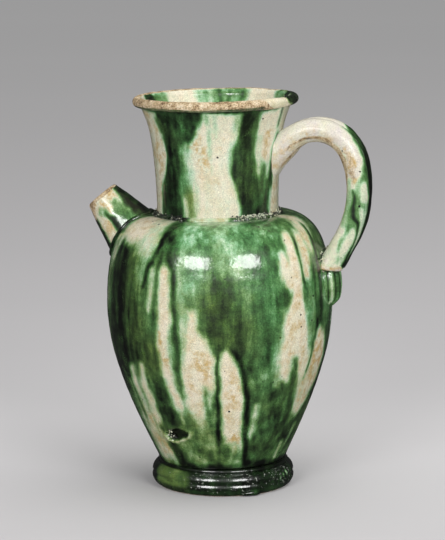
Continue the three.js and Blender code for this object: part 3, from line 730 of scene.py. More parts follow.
def glaze_material(name, mottle=1.0, gloss=0.13, cream=None):
    """Lead glaze with copper splashed into it, over cream slip: the colour follows how much copper lies there.

    The glaze breaks into mottles and streaks as it runs, is peppered with fine specks and pinholes, and where
    it is rubbed away (the wear attribute) the buff clay shows, matt and gritty.
    """
    finish = bpy.context.scene.ewer_finish
    cream = cream or finish.cream
    material = bpy.data.materials.new(name)
    material.use_nodes = True
    tree = material.node_tree
    tree.nodes.clear()
    at = add(tree, "ShaderNodeTexCoord").outputs["Object"]
    levels = {
        title: add(tree, "ShaderNodeAttribute", attribute_name=title).outputs["Fac"] for title in LEVELS
    }
    noise = {}
    for title, (millimetres, detail, roughness, stretch) in GLAZE_PATTERNS.items():
        where = at if stretch == (1, 1, 1) else add(tree, "ShaderNodeMapping", {"Vector": at, "Scale": stretch})
        noise[title] = add(tree, "ShaderNodeTexNoise", {
            "Vector": where, "Scale": per_metre(millimetres), "Detail": detail, "Roughness": roughness,
        })

    # running glaze: cloudy mottles, long streaks down the wall, fine grain, each swinging about nought
    drift = -0.5 * sum(RUNNING.values())
    for title, share in RUNNING.items():
        drift = add(tree, "ShaderNodeMath", {0: noise[title], 1: share, 2: drift}, operation="MULTIPLY_ADD")
    thickness = add(tree, "ShaderNodeMath", {0: levels["copper"], 1: 3.2}, operation="MULTIPLY", use_clamp=True)
    thickness = add(tree, "ShaderNodeMath", {0: thickness, 1: 0.12}, operation="ADD")
    spread = add(tree, "ShaderNodeMath", {0: drift, 1: 0.5 * mottle}, operation="MULTIPLY")
    spread = add(tree, "ShaderNodeMath", {0: spread, 1: thickness}, operation="MULTIPLY")
    copper = add(tree, "ShaderNodeMath", {0: levels["copper"], 1: spread}, operation="ADD", use_clamp=True)

    cool = add(tree, "ShaderNodeValToRGB", {"Fac": copper}, [
        (0.00, cream), (0.10, linear("#dde0c9")), (0.22, finish.mint), (0.36, linear("#8ec193")),
        (0.50, finish.leaf), (0.62, linear("#417540")), (0.74, linear("#30542c")), (0.85, finish.deep),
        (0.93, linear("#122410")), (1.00, finish.black),
    ])
    warm = add(tree, "ShaderNodeValToRGB", {"Fac": copper}, [
        (0.00, cream), (0.10, linear("#dbd8b2")), (0.22, linear("#b4bf8b")), (0.36, linear("#8a9f5e")),
        (0.50, finish.olive), (0.62, linear("#496330")), (0.74, linear("#374b26")), (0.85, linear("#26341b")),
        (0.93, linear("#182211")), (1.00, finish.black),
    ])
    hue = add(tree, "ShaderNodeMath", {0: noise["warmth"], 1: 0.45}, operation="SUBTRACT")
    hue = add(tree, "ShaderNodeMath", {0: hue, 1: 0.9}, operation="MULTIPLY")
    hue = add(tree, "ShaderNodeMath", {0: levels["olive"], 1: hue}, operation="ADD", use_clamp=True)
    colour = add(tree, "ShaderNodeMix", {"Factor": hue, "A": cool, "B": warm}, data_type="RGBA")

    # iron stains the cream in tan blotches of about 5 mm, with darker flecks of a millimetre in them
    blotch = add(tree, "ShaderNodeMapRange", {"Value": noise["iron blotches"], "From Min": 0.45, "From Max": 0.62})
    fleck = add(tree, "ShaderNodeMapRange", {"Value": noise["iron flecks"], "From Min": 0.52, "From Max": 0.66})
    covered = add(tree, "ShaderNodeMath", {0: levels["copper"], 1: 2.0}, operation="MULTIPLY", use_clamp=True)
    bare_cream = add(tree, "ShaderNodeMath", {0: 1.0, 1: covered}, operation="SUBTRACT", use_clamp=True)
    blotched = add(tree, "ShaderNodeMath", {0: blotch, 1: 0.06}, operation="ADD")
    flecked = add(tree, "ShaderNodeMath", {0: fleck, 1: 0.9, 2: 0.7}, operation="MULTIPLY_ADD")
    iron = add(tree, "ShaderNodeMath", {0: levels["iron"], 1: blotched}, operation="MULTIPLY")
    iron = add(tree, "ShaderNodeMath", {0: iron, 1: flecked}, operation="MULTIPLY")
    iron = add(tree, "ShaderNodeMath", {0: iron, 1: 1.5}, operation="MULTIPLY", use_clamp=True)
    iron = add(tree, "ShaderNodeMath", {0: iron, 1: bare_cream}, operation="MULTIPLY", use_clamp=True)
    stain = add(tree, "ShaderNodeMix", {"Factor": fleck, "A": finish.tan, "B": linear("#a07f42")}, data_type="RGBA")
    colour = add(tree, "ShaderNodeMix", {"Factor": iron, "A": colour, "B": stain}, data_type="RGBA")

    # rubbed clay: buff, with pale and dark grit of just under a millimetre
    ragged = add(tree, "ShaderNodeMath", {0: noise["worn edges"], 1: 0.5}, operation="SUBTRACT")
    ragged = add(tree, "ShaderNodeMath", {0: ragged, 1: 1.1}, operation="MULTIPLY")
    ragged = add(tree, "ShaderNodeMath", {0: ragged, 1: levels["wear"]}, operation="MULTIPLY")
    wear = add(tree, "ShaderNodeMath", {0: levels["wear"], 1: ragged}, operation="ADD", use_clamp=True)
    wear = add(tree, "ShaderNodeMapRange", {"Value": wear, "From Min": 0.28, "From Max": 0.55})
    body = add(tree, "ShaderNodeMath", {0: noise["clay clouds"], 1: 0.4}, operation="MULTIPLY")
    body = add(tree, "ShaderNodeMath", {0: noise["clay grit"], 1: 0.6, 2: body}, operation="MULTIPLY_ADD")
    clay = add(tree, "ShaderNodeValToRGB", {"Fac": body}, [
        (0.38, linear("#3e2e20")), (0.45, linear("#8e7351")), (0.51, finish.clay), (0.60, linear("#e6d8bd")),
    ])
    colour = add(tree, "ShaderNodeMix", {"Factor": wear, "A": colour, "B": clay}, data_type="RGBA")

    # fine pepper of darker and lighter specks all over
    pepper = add(tree, "ShaderNodeMapRange", {
        "Value": noise["pepper"], "From Min": 0.25, "From Max": 0.75, "To Min": 0.54, "To Max": 1.46,
    })
    colour = add(
        tree, "ShaderNodeMix", {"Factor": 1.0, "A": colour, "B": pepper}, data_type="RGBA", blend_type="MULTIPLY"
    )

    # pinholes where bubbles burst in the kiln, up to 1.3 mm across and about a centimetre apart
    cells = add(tree, "ShaderNodeTexVoronoi", {"Vector": at, "Scale": per_metre(PINHOLE_SPACING)})
    size = add(tree, "ShaderNodeSeparateColor", {"Color": cells.outputs["Color"]}).outputs["Red"]
    reach = add(tree, "ShaderNodeMath", {0: size, 1: 0.72}, operation="SUBTRACT", use_clamp=True)
    reach = add(tree, "ShaderNodeMath", {0: reach, 1: 0.54}, operation="MULTIPLY")
    hole = add(tree, "ShaderNodeMath", {0: cells.outputs["Distance"], 1: reach}, operation="LESS_THAN")
    colour = add(tree, "ShaderNodeMix", {"Factor": hole, "A": colour, "B": linear("#12130d")}, data_type="RGBA")

    # grit caught in the glaze where the grit attribute says: pale and black grains of about half a millimetre
    grains = add(tree, "ShaderNodeTexVoronoi", {"Vector": at, "Scale": per_metre(GRAIN_SIZE)})
    tone = add(tree, "ShaderNodeSeparateColor", {"Color": grains.outputs["Color"]})
    patches = add(tree, "ShaderNodeMapRange", {"Value": noise["grit patches"], "From Min": 0.4, "From Max": 0.62})
    gritty = add(tree, "ShaderNodeMath", {0: levels["grit"], 1: patches}, operation="MULTIPLY")
    gritty = add(tree, "ShaderNodeMath", {0: tone.outputs["Red"], 1: gritty}, operation="ADD")
    gritty = add(tree, "ShaderNodeMath", {0: gritty, 1: 1.0}, operation="GREATER_THAN")
    shade = add(tree, "ShaderNodeValToRGB", {"Fac": tone.outputs["Green"]}, [
        (0.0, linear("#0b0c0a")), (0.55, linear("#252b24")), (0.75, linear("#59615a")), (1.0, linear("#a9aea2")),
    ])
    colour = add(tree, "ShaderNodeMix", {"Factor": gritty, "A": colour, "B": shade}, data_type="RGBA")

    # the glaze is glossy where it lies smooth, and rubbed clay is matt
    roughness = add(tree, "ShaderNodeMapRange", {
        "Value": noise["clouds"], "From Min": 0.3, "From Max": 0.7, "To Min": gloss + 0.1, "To Max": gloss + 0.3,
    })
    roughness = add(tree, "ShaderNodeMix", {"Factor": wear, "A": roughness, "B": 0.82})

    # relief in millimetres: orange peel in the glaze, sunk pinholes, standing grit on the clay
    standing = add(tree, "ShaderNodeMath", {0: noise["standing grit"], 1: wear}, operation="MULTIPLY")
    relief = 0.0
    for pattern, rise in ((noise["orange peel"], 0.06), (noise["swells"], 0.22), (standing, 0.5), (hole, -0.3)):
        relief = add(tree, "ShaderNodeMath", {0: pattern, 1: rise, 2: relief}, operation="MULTIPLY_ADD")
    normal = add(tree, "ShaderNodeBump", {"Height": relief, "Distance": MM, "Strength": 1.0})

    coat = add(tree, "ShaderNodeMath", {0: copper, 1: 2.4, 2: 0.3}, operation="MULTIPLY_ADD")
    coat = add(tree, "ShaderNodeMath", {0: coat, 1: wear}, operation="SUBTRACT", use_clamp=True)
    shader = add(tree, "ShaderNodeBsdfPrincipled", {
        "Base Color": colour, "Roughness": roughness, "IOR": 1.5, "Normal": normal,
        "Coat Weight": coat, "Coat Roughness": gloss, "Coat IOR": 1.55, "Coat Normal": normal,
    })
    add(tree, "ShaderNodeOutputMaterial", {"Surface": shader})
    return material


PAPER_GLOW = [
    (0.077, 0.010), (0.105, 0.072), (0.130, 0.100), (0.172, 0.055), (0.211, 0.038), (0.260, 0.045),
    (0.323, 0.068), (0.408, 0.107), (0.527, 0.156), (0.666, 0.193), (0.874, 0.220), (1.000, 0.226),
]


def sweep_material():
    """Pale matt paper with a glow of its own, which stands for the light that the softboxes don't throw so far.

    The glow changes along one level direction of the room, away from where the stage's camera stands: each of
    its stops is a share of the way from half a metre in front of the pot to 4.5 m behind it, and a brightness.
    """
    material = bpy.data.materials.new("pale_paper_sweep")
    material.use_nodes = True
    tree = material.node_tree
    tree.nodes.clear()
    a = bpy.context.scene.ewer_stage.azimuth
    at = add(tree, "ShaderNodeTexCoord").outputs["Object"]
    behind = add(tree, "ShaderNodeVectorMath", {0: at, 1: (-math.sin(a), math.cos(a), 0)}, operation="DOT_PRODUCT")
    share = add(tree, "ShaderNodeMapRange", {
        "Value": behind.outputs["Value"], "From Min": -0.5, "From Max": 4.5,
    })
    glow = add(
        tree, "ShaderNodeValToRGB", {"Fac": share}, [(place, (light, light, light, 1)) for place, light in PAPER_GLOW]
    )
    shader = add(tree, "ShaderNodeBsdfPrincipled", {
        "Base Color": linear("#c6c4c5"), "Roughness": 1.0, "Specular IOR Level": 0.0, "Emission Color": glow,
        "Emission Strength": 1.0,
    })
    # reflections meet a dark card in place of the paper, so that the dark glaze stays free of haze
    card = add(tree, "ShaderNodeEmission", {"Color": linear("#2c2c2c")})
    ray = add(tree, "ShaderNodeLightPath").outputs["Is Glossy Ray"]
    shader = add(tree, "ShaderNodeMixShader", {0: ray, 1: shader, 2: card})
    add(tree, "ShaderNodeOutputMaterial", {"Surface": shader})
    return material


def shared_material(name, **settings):
    """The named glaze, made once."""
    return bpy.data.materials.get(name) or glaze_material(name, **settings)


def splashed_glaze():
    """Copper-splashed lead glaze, as on the belly, neck and spout: glossy green over cream."""
    return shared_material("copper_splashed_lead_glaze")


def thin_glaze():
    """The same glaze where it lay thin on the handle, calmer and a little duller."""
    return shared_material("thin_cream_lead_glaze", mottle=0.9, gloss=0.2, cream=linear("#d5cdc5"))


def rim_clay():
    """Buff earthenware rubbed bare along the rim, with glaze left on part of it."""
    return shared_material("rubbed_buff_earthenware", mottle=0.8, gloss=0.2)


def pooled_glaze():
    """Thick green-black glaze pooled on the foot and in the joints, full of kiln grit."""
    return shared_material("pooled_gritty_lead_glaze", mottle=0.5, gloss=0.13)


# ---- the pieces ----
def ragged_bearing(co, bearing, height, radius):
    """Bearings and heights nudged so that a mark's edge wanders as running glaze does."""
    broad = unevenness(co, 9, 1)
    fine = unevenness(co, 2.6, 2)
    per_degree = radius * math.pi / 180
    sideways = (0.8 * broad[:, 0] + 0.22 * fine[:, 0]) / per_degree
    return bearing + sideways, height + 1.8 * broad[:, 1] + 0.4 * fine[:, 1]


PIT = {"bearing": -112.5, "height": 34, "half_width": 8.0, "half_height": 3.8, "depth": 3.2}


def make_belly():
    """The thrown belly, with its throwing rings, glaze runs and the pit low on the spout's side."""
    shape = bpy.context.scene.ewer_shape
    outside = belly_outside(0.9)
    inside = smooth_line(
        [(THROAT_RADIUS, SHOULDER), (THROAT_RADIUS + 1, SHOULDER - WALL)]
        + [(r * BELLY_RADIUS - WALL, JOINT_HEIGHT + h * BELLY_HEIGHT - 1.2) for r, h in BELLY_SHARES[-3:0:-1]]
        + [(26, JOINT_HEIGHT + FLOOR_THICKNESS + 0.6), (12, JOINT_HEIGHT + FLOOR_THICKNESS)], 7
    )
    outline = [(AXIS, JOINT_HEIGHT), (26, JOINT_HEIGHT)] + outside + inside
    outline.append((AXIS, JOINT_HEIGHT + FLOOR_THICKNESS))
    bm = turned(outline, 416)
    co, bearing, height, radius = places(bm)
    outer = radius > np.interp(height, *np.array([(h, r - 2.2) for r, h in outside]).T)
    outer |= height > SHOULDER - 2
    wandering, level_height = ragged_bearing(co, bearing, height, radius)
    far = [(0.34, 0.8, 8, [(b, 140, 7), (b + 4, 122, 5)]) for b in (32, 88, 128, 158)]
    far += far_side_marks(5, 22, 138, range(24, 170, 14))
    copper = glazed(0.6, BELLY_COPPER + far, wandering, level_height, radius, 1.9)
    copper += 0.3 * soft_step(18.5, 15.5, height + unevenness(co, 5, 3)[:, 0])
    iron = glazed(0.34, BELLY_IRON, wandering, level_height, radius)
    olive = glazed(0.45, BELLY_OLIVE, wandering, level_height, radius)

    # the pit: a hole torn in the wall, its lower lip raised
    across = wrapped(bearing - PIT["bearing"]) * radius * math.pi / 180
    up = height - PIT["height"] - 0.16 * across
    ragged = unevenness(co, 2.2, 4)
    reach = np.hypot(across / PIT["half_width"], up / PIT["half_height"]) + 0.22 * ragged[:, 0]
    hollow = soft_step(1.0, 0.55, reach) * outer
    rim = soft_step(0.75, 1.0, reach) * soft_step(1.5, 1.05, reach) * soft_step(0.8, -0.6, up / PIT["half_height"])
    # the hollow takes the darkest glaze colour, a painted shade in the pit
    copper = copper + hollow * (1.0 - copper)
    copper = copper + rim * outer * (0.2 - copper)
    iron = np.where(hollow > 0.3, 0, iron)

    rings = np.sin(height * 2 * math.pi / 6.5 + 0.6 * np.sin(height / 17))
    wobble = unevenness(co * np.array([1, 1, 0.5]), 45, 6)[:, 0]
    glaze_depth = 0.30 * soft_step(0.2, 0.95, copper)
    out = shape.ring_depth / MM * rings + shape.wobble / MM * wobble + glaze_depth - 0.15
    out = np.where(outer, out, 0) - hollow * PIT["depth"] + rim * outer * 1.3
    co[:, :2] *= (1 + out / np.maximum(radius, 1))[:, None]
    move(bm, co)

    copper = np.where(outer, copper, 0.08 + 0.2 * soft_step(80, 140, height))
    iron = np.where(outer, iron, 0.3)
    levels = {"copper": copper, "iron": iron, "olive": olive, "wear": np.where(outer, 0, 0.1)}
    return finished(bm, "thrown_belly", splashed_glaze(), levels, "belly")


def make_neck():
    """The neck, glazed outside and a little way down inside."""
    shape = bpy.context.scene.ewer_shape
    outside = neck_outside(0.95)
    outline = outside + [(ROLL_CENTRE - 0.4, LIP_HEIGHT), (ROLL_CENTRE - 1.4, LIP_HEIGHT + 1.4)] + neck_inside(1.3)
    bm = turned(outline, 304)
    co, bearing, height, radius = places(bm)
    inner_wall = np.array(neck_inside(1.5)[::-1])
    outer_wall = np.array(outside)
    walls = [np.interp(height, wall[:, 1], wall[:, 0]) for wall in (inner_wall, outer_wall)]
    outer = radius > sum(walls) / 2
    wandering, level_height = ragged_bearing(co, bearing, height, radius)
    far = far_side_marks(11, 146, 204, range(34, 160, 21))
    copper = np.where(
        outer,
        glazed(0.08, NECK_COPPER + far, wandering, level_height, radius, 2.6),
        glazed(0.03, MOUTH_COPPER, wandering, level_height, radius, 2.0),
    )
    iron = np.where(outer, glazed(0.16, NECK_IRON, wandering, level_height, radius), 0.12)
    olive = np.where(outer, glazed(0.1, NECK_OLIVE, wandering, level_height, radius), 0.25)
    rings = np.sin(height * 2 * math.pi / 5.2 + 1.1 * np.sin(height / 9))
    wobble = unevenness(co * np.array([1, 1, 0.5]), 30, 7)[:, 0]
    out = shape.ring_depth / MM * rings + shape.wobble / MM * wobble + 0.25 * soft_step(0.2, 0.95, copper) - 0.1
    co[:, :2] *= (1 + np.where(outer, out, 0) / radius)[:, None]
    move(bm, co)
    levels = {"copper": copper, "iron": iron, "olive": olive}
    return finished(bm, "thrown_neck", splashed_glaze(), levels, "neck")


def make_lip():
    """The rolled lip: its crown rubbed down to the clay, glaze surviving beside the handle."""
    bm = turned(arc(ROLL_CENTRE, LIP_HEIGHT, ROLL_RADIUS, 0, 360, 30)[:-1], 320)
    co, bearing, height, radius = places(bm)
    centre = np.stack([co[:, 0], co[:, 1], np.zeros(len(co))], 1) * (ROLL_CENTRE / radius)[:, None]
    centre[:, 2] = LIP_HEIGHT
    lumps = 0.30 * unevenness(co, 11, 8)[:, 0] + 0.16 * unevenness(co, 2.4, 9)[:, 0]
    outward = co - centre
    co = co + outward / ROLL_RADIUS * (lumps - 0.24)[:, None]
    move(bm, co)
    wandering, level_height = ragged_bearing(co, bearing, height, radius)
    copper = glazed(0.03, LIP_COPPER, wandering, height, radius)
    wear = glazed(1.0, LIP_WEAR, wandering, height, radius)
    inner = soft_step(ROLL_CENTRE - 0.6, ROLL_CENTRE - 2.4, radius)
    wear = wear * (1 - inner)
    inner_copper = glazed(0.04, MOUTH_COPPER, wandering, height, radius)
    copper = copper + inner * (inner_copper - copper)
    levels = {"copper": copper, "iron": np.full(len(co), 0.25), "wear": wear, "olive": 0.8 * (1 - inner)}
    return finished(bm, "rolled_rim", rim_clay(), levels, "rolled_lip")


SPOUT_RISE = math.radians(50.5)
SPOUT_TIP = Vector((-63.3, 0, 155))
SPOUT_LENGTH = 35.0
SPOUT_TIP_RADIUS, SPOUT_ROOT_RADIUS, SPOUT_BORE = 9.2, 17.8, 5.2
SPOUT_INWARD = Vector((math.cos(SPOUT_RISE), 0, -math.sin(SPOUT_RISE)))  # from the tip towards the belly
SPOUT_UPWARD = Vector((math.sin(SPOUT_RISE), 0, math.cos(SPOUT_RISE)))  # square to it, on the spout's upper side


def spout_radius(along):
    """The spout's outer radius so many millimetres from its tip."""
    return SPOUT_TIP_RADIUS + (SPOUT_ROOT_RADIUS - SPOUT_TIP_RADIUS) * along / SPOUT_LENGTH


def make_spout():
    """The spout: a short tapered tube whose cut end is bare clay."""
    steps = 44
    run = np.linspace(0, SPOUT_LENGTH, steps)
    outer_radii = spout_radius(run)
    outer_radii[0] -= 0.5
    inner_run = np.linspace(0, SPOUT_LENGTH - 4, 12)
    inner_radii = SPOUT_BORE + 1.5 * inner_run / SPOUT_LENGTH
    run_all = np.concatenate([run[::-1], inner_run])
    radii = np.concatenate([outer_radii[::-1], inner_radii])
    centres = [SPOUT_TIP + SPOUT_INWARD * float(s) for s in run_all]
    bm = looped([(centre, radius, SPOUT_UPWARD, SIDEWAYS) for centre, radius in zip(centres, radii)], 80)
    turn, ring = turns_and_rings(bm)
    co = np.array([v.co for v in bm.verts])
    along = run_all[ring]
    outer = ring < steps
    around_radius = np.maximum(radii[ring], 1)
    wander = unevenness(co, 5, 12)
    turn_w = turn + 1.1 * wander[:, 0] / (around_radius * math.pi / 180)
    along_w = along + 0.9 * wander[:, 1]
    copper = glazed(0.05, SPOUT_COPPER, turn_w, along_w, around_radius)
    iron = glazed(0.15, SPOUT_IRON, turn_w, along_w, around_radius)
    wear = glazed(0.0, SPOUT_WEAR, turn_w, along_w, around_radius)
    wear = np.where(outer, wear, 0.7)
    copper = np.where(outer, copper, 0.4)
    facets = unevenness(co, 7, 13)[:, 0] * 0.35 + unevenness(co, 2, 14)[:, 0] * 0.12
    axis_point = np.array([tuple(centres[i]) for i in ring])
    outward = co - axis_point
    co = co + outward / np.maximum(np.linalg.norm(outward, axis=1), 1)[:, None] * facets[:, None]
    move(bm, co)
    levels = {"copper": copper, "iron": iron, "wear": wear, "olive": np.full(len(co), 0.35)}
    return finished(bm, "drawn_spout", splashed_glaze(), levels, "spout")


def make_handle_roll(name, node, side, copper_marks, iron_marks, wear_marks):
    """One of the handle's two rolls of clay, thicker where it is pressed to the neck and at its lower end."""
    shape = bpy.context.scene.ewer_shape
    route = smooth_line(HANDLE_ROUTE, 0.8)
    count = len(route)
    total = 0.8 * (count - 1)
    along_route = np.linspace(0, total, count)
    swell = 0.04 * np.exp(-((along_route / 14) ** 2)) + 0.08 * soft_step(total - 16, total, along_route)
    radii = shape.strand_radius / MM * (1 + swell)
    centres = [(x, side * 5.4, z) for x, z in route]
    bm = swept(centres, radii, 44)
    turn, ring = turns_and_rings(bm)
    co = np.array([v.co for v in bm.verts])
    along = along_route[ring]
    around_radius = radii[ring]
    wander = unevenness(co, 5, 20 + side)
    turn_w = turn + 1.0 * wander[:, 0] / (around_radius * math.pi / 180)
    along_w = along + 1.2 * wander[:, 1]
    copper = glazed(0.03, copper_marks, turn_w, along_w, around_radius)
    iron = glazed(0.1, iron_marks, turn_w, along_w, around_radius)
    wear = glazed(0.0, wear_marks, turn_w, along_w, around_radius)
    lumps = 0.32 * unevenness(co, 13, 30 + side)[:, 0] + 0.1 * unevenness(co, 3, 32)[:, 0]
    lumps = lumps + 0.15 * soft_step(0.3, 0.9, copper) - 0.35 * soft_step(0.4, 0.9, wear)
    lumps = lumps - 0.4 * soft_step(79, 82.5, co[:, 0])
    middle = np.array([centres[i] for i in ring])
    outward = (co - middle) / around_radius[:, None]
    co = co + outward * lumps[:, None]
    gap = np.maximum(np.hypot(co[:, 0], co[:, 1]) - NECK_RADIUS - 0.8, 0)
    spread = np.exp(-gap / 3.2) * soft_step(60, 30, along)
    co[:, 2] -= 3.6 * spread * soft_step(60, 165, np.abs(turn))
    co[:, 2] += 2.0 * spread * soft_step(80, 10, np.abs(turn))
    ahead = np.array([centres[-1][k] - centres[-6][k] for k in range(3)])
    aslant = 6.5 * soft_step(total - 16, total, along) * (1 + np.cos(np.radians(turn))) / 2
    co -= aslant[:, None] * ahead / np.linalg.norm(ahead)
    co[:, 1] = side * np.maximum(side * co[:, 1], 0.02)
    move(bm, co)
    levels = {"copper": copper, "iron": iron, "wear": wear, "olive": np.full(len(co), 0.25)}
    return finished(bm, name, thin_glaze(), levels, node)


def lump(centre, half, name, node, material, slot, marks=(), shaping=None, **ground):
    """A pressed pad of clay: a ball stretched to three half sizes and shaped by hand."""
    bm = bmesh.new()
    bmesh.ops.create_uvsphere(bm, u_segments=72, v_segments=44, radius=1)
    bmesh.ops.scale(bm, vec=half, verts=bm.verts)
    bmesh.ops.translate(bm, vec=centre, verts=bm.verts)
    co = np.array([v.co for v in bm.verts])
    outward = (co - np.array(centre)) / np.array(half)
    turn, height = np.degrees(np.arctan2(outward[:, 1], outward[:, 0])), co[:, 2].copy()
    if shaping:
        co = shaping(co, turn)
    co = co + outward * (0.35 * unevenness(co, 6, 40)[:, 0] + 0.15 * unevenness(co, 2.2, 41)[:, 0])[:, None]
    move(bm, co)
    levels = {title: np.full(len(co), float(value)) for title, value in ground.items()}
    levels["copper"] = glazed(ground.get("copper", 0.5), marks, turn, height, (half[0] + half[1]) / 2)
    return finished(bm, name, material, levels, node)


def make_leaf():
    """The leaf pressed under the handle: finger grooves leave ribs that fade into the belly."""

    def ribbed(co, turn):
        groove = np.max([np.exp(-(((turn - at) / 7) ** 2)) for at in (-70, -36, 0, 36, 70)], axis=0)
        away = np.stack([np.cos(np.radians(turn)), np.sin(np.radians(turn))], 1)
        co[:, :2] -= (1.3 * groove * soft_step(94, 100, co[:, 2]) + 0.1)[:, None] * away
        co[:, 1] *= 1 - 0.40 * soft_step(112, 93, co[:, 2])
        co[:, 0] -= 5.0 * soft_step(101, 93, co[:, 2])
        return co

    centre = (58.0, 0, 108.0)
    return lump(
        centre, (8.2, 12.0, 15.0), "pressed_leaf", "handle_leaf", splashed_glaze(), "splashed_green_glaze",
        LEAF_COPPER, ribbed, copper=0.6, olive=0.3, iron=0.1,
    )


def seam(name, node, outline, steps, material, slot, lumpiness, leaning, marks=(), stains=(), grit=(), **ground):
    """A bead of slip and glaze round the pot, lumpy with caught grit."""
    bm = turned(outline, steps)
    co, bearing, height, radius = places(bm)
    lumps = lumpiness * (unevenness(co, 1.5, 50)[:, 0] + 0.8 * unevenness(co, 4, 51)[:, 0])
    co[:, :2] *= (1 + lumps / radius)[:, None]
    co[:, 2] += 0.6 * lumpiness * unevenness(co, 1.7, 52)[:, 1]
    move(bm, co)
    levels = {
        "copper": glazed(ground.get("copper", 0.9), marks, bearing, height, radius),
        "iron": glazed(0.1, stains, bearing, height, radius),
        "grit": glazed(0.0, grit, bearing, height, radius),
        "olive": np.full(len(co), 0.4),
    }
    return finished(bm, name, material, levels, node, leaning)


def make_seams():
    """The slip beads that lute the neck and the handle to the pot."""
    level = NECK_BASE
    neck = seam(
        "neck_seam", "neck_slip_bead",
        [(NECK_RADIUS - 1, level - 1.2), (NECK_RADIUS + 2.3, level - 0.9), (NECK_RADIUS + 1.9, level + 0.4),
         (NECK_RADIUS + 0.9, level + 1.2), (NECK_RADIUS - 1, level + 1.8)],
        360, pooled_glaze(), "pooled_dark_glaze", 0.28, True,
        marks=[(0.14, 0.9, 2.0, [(-101, level + 0.6, 4), (-72, level + 0.6, 6)]),
               (0.60, 0.8, 2.0, [(-64, level, 3), (-30, level, 8)])],
        stains=[(0.8, 0.9, 2.0, [(-101, level, 4), (-72, level, 6)])],
        grit=[(0.5, 1, 2, [(-160, level, 6), (-112, level, 6)]), (0.9, 1, 2, [(-62, level, 4), (-10, level, 8)]),
              (0.4, 1, 2, [(20, level, 10), (150, level, 10)])],
        copper=0.95,
    )
    collar = lump(
        (32.4, 0, 180.6), (4.4, 11.4, 9.4), "handle_collar", "handle_top_slip_bead", thin_glaze(), "cream_glaze",
        copper=0.03, iron=0.25, olive=0.1,
    )
    root = lump(
        (55.2, 0, 119.5), (5.2, 11.6, 8.0), "handle_root", "handle_root_slip_bead", thin_glaze(), "cream_glaze",
        copper=0.8, iron=0.4, olive=0.2,
    )
    return neck, collar, root


def make_spout_seam():
    """The bead that lutes the spout to the shoulder, dark with pooled glaze, laid where the two meet."""
    profile = np.array(belly_outside(2))
    centres = []
    for angle in np.linspace(0, 2 * math.pi, 96, endpoint=False).tolist():
        outward = math.cos(angle) * SPOUT_UPWARD - math.sin(angle) * SIDEWAYS
        for along in np.linspace(4, SPOUT_LENGTH + 12, 400).tolist():
            p = SPOUT_TIP + SPOUT_INWARD * along + (spout_radius(along) + 0.2) * outward
            if math.hypot(p.x, p.y) < np.interp(p.z, profile[:, 1], profile[:, 0]) + 0.4 or p.z < 100:
                break
        centres.append(p)
    frames = []
    for i, centre in enumerate(centres):
        ahead = (centres[(i + 1) % len(centres)] - centres[i - 1]).normalized()
        side = ahead.cross(Vector((0, 0, 1))).normalized()
        frames.append((centre, 1.15, side, -side.cross(ahead)))
    bm = looped(frames, 12)
    co = np.array([v.co for v in bm.verts])
    move(bm, co + 0.3 * unevenness(co, 3, 60))
    levels = {"copper": np.full(len(co), 0.9), "olive": np.full(len(co), 0.2)}
    return finished(bm, "spout_seam", splashed_glaze(), levels, "spout_slip_bead")


def make_foot():
    """The turned foot under thick dark glaze, with the bead above it."""
    rounded = smooth_line(FOOT_OUTLINE, 0.55)
    bm = turned([(AXIS, 0), (18, 0)] + rounded + [(20, FOOT_HEIGHT), (AXIS, FOOT_HEIGHT)], 360)
    co, bearing, height, radius = places(bm)
    wandering, level_height = ragged_bearing(co, bearing, height, radius)
    far = [(0.6, 0.8, 3.0, [(b, 8, 9), (b + 14, 6, 6)]) for b in (30, 84, 150)]
    copper = glazed(0.97, FOOT_COPPER + far, wandering, height, radius)
    olive = glazed(0.1, FOOT_OLIVE, wandering, height, radius)
    side = soft_step(FOOT_RADIUS - 6, FOOT_RADIUS - 3, radius) * soft_step(0.0, 1.2, height)
    lumps = side * (0.16 * unevenness(co, 12, 70)[:, 0] + 0.05 * unevenness(co, 1.6, 71)[:, 0])
    co[:, :2] *= (1 + lumps / np.maximum(radius, 1))[:, None]
    move(bm, co)
    wear = np.where(height < 0.4, 1.0, 0.0)
    copper = np.where(height < 0.4, 0.1, copper)
    grit = glazed(0.05, FOOT_GRIT, wandering, height, radius)
    levels = {"copper": copper, "olive": olive, "wear": wear, "iron": np.full(len(co), 0.3), "grit": grit}
    foot = finished(bm, "turned_foot", pooled_glaze(), levels, "foot_pad", False)
    bead = seam(
        "foot_seam", "foot_slip_bead",
        [(FOOT_RADIUS - 6, FOOT_HEIGHT - 1.4), (FOOT_RADIUS - 3.4, FOOT_HEIGHT - 1.3),
         (FOOT_RADIUS - 3.2, FOOT_HEIGHT - 0.3), (FOOT_RADIUS - 4.2, FOOT_HEIGHT + 0.7),
         (FOOT_RADIUS - 6, FOOT_HEIGHT + 0.6)],
        360, pooled_glaze(), "pooled_dark_glaze", 0.12, False, copper=0.97,
    )
    return foot, bead


def make_tear():
    """The tear of glaze that hung under the foot's edge in the kiln."""
    bearing = -54
    reach = FOOT_RADIUS - 1.6
    bm = bmesh.new()
    bmesh.ops.create_uvsphere(bm, u_segments=40, v_segments=24, radius=1)
    bmesh.ops.scale(bm, vec=(2.6, 6.2, 1.6), verts=bm.verts)
    bmesh.ops.rotate(bm, matrix=Matrix.Rotation(math.radians(bearing), 3, "Z"), verts=bm.verts)
    centre = (reach * math.cos(math.radians(bearing)), reach * math.sin(math.radians(bearing)), 1.75)
    bmesh.ops.translate(bm, vec=centre, verts=bm.verts)
    co = np.array([v.co for v in bm.verts])
    co = co + 0.25 * unevenness(co, 3, 80)
    co[:, 2] = np.maximum(co[:, 2], 0.12)
    move(bm, co)
    levels = {"copper": np.full(len(co), 0.93)}
    return finished(bm, "hanging_tear", splashed_glaze(), levels, "glaze_tear", False)


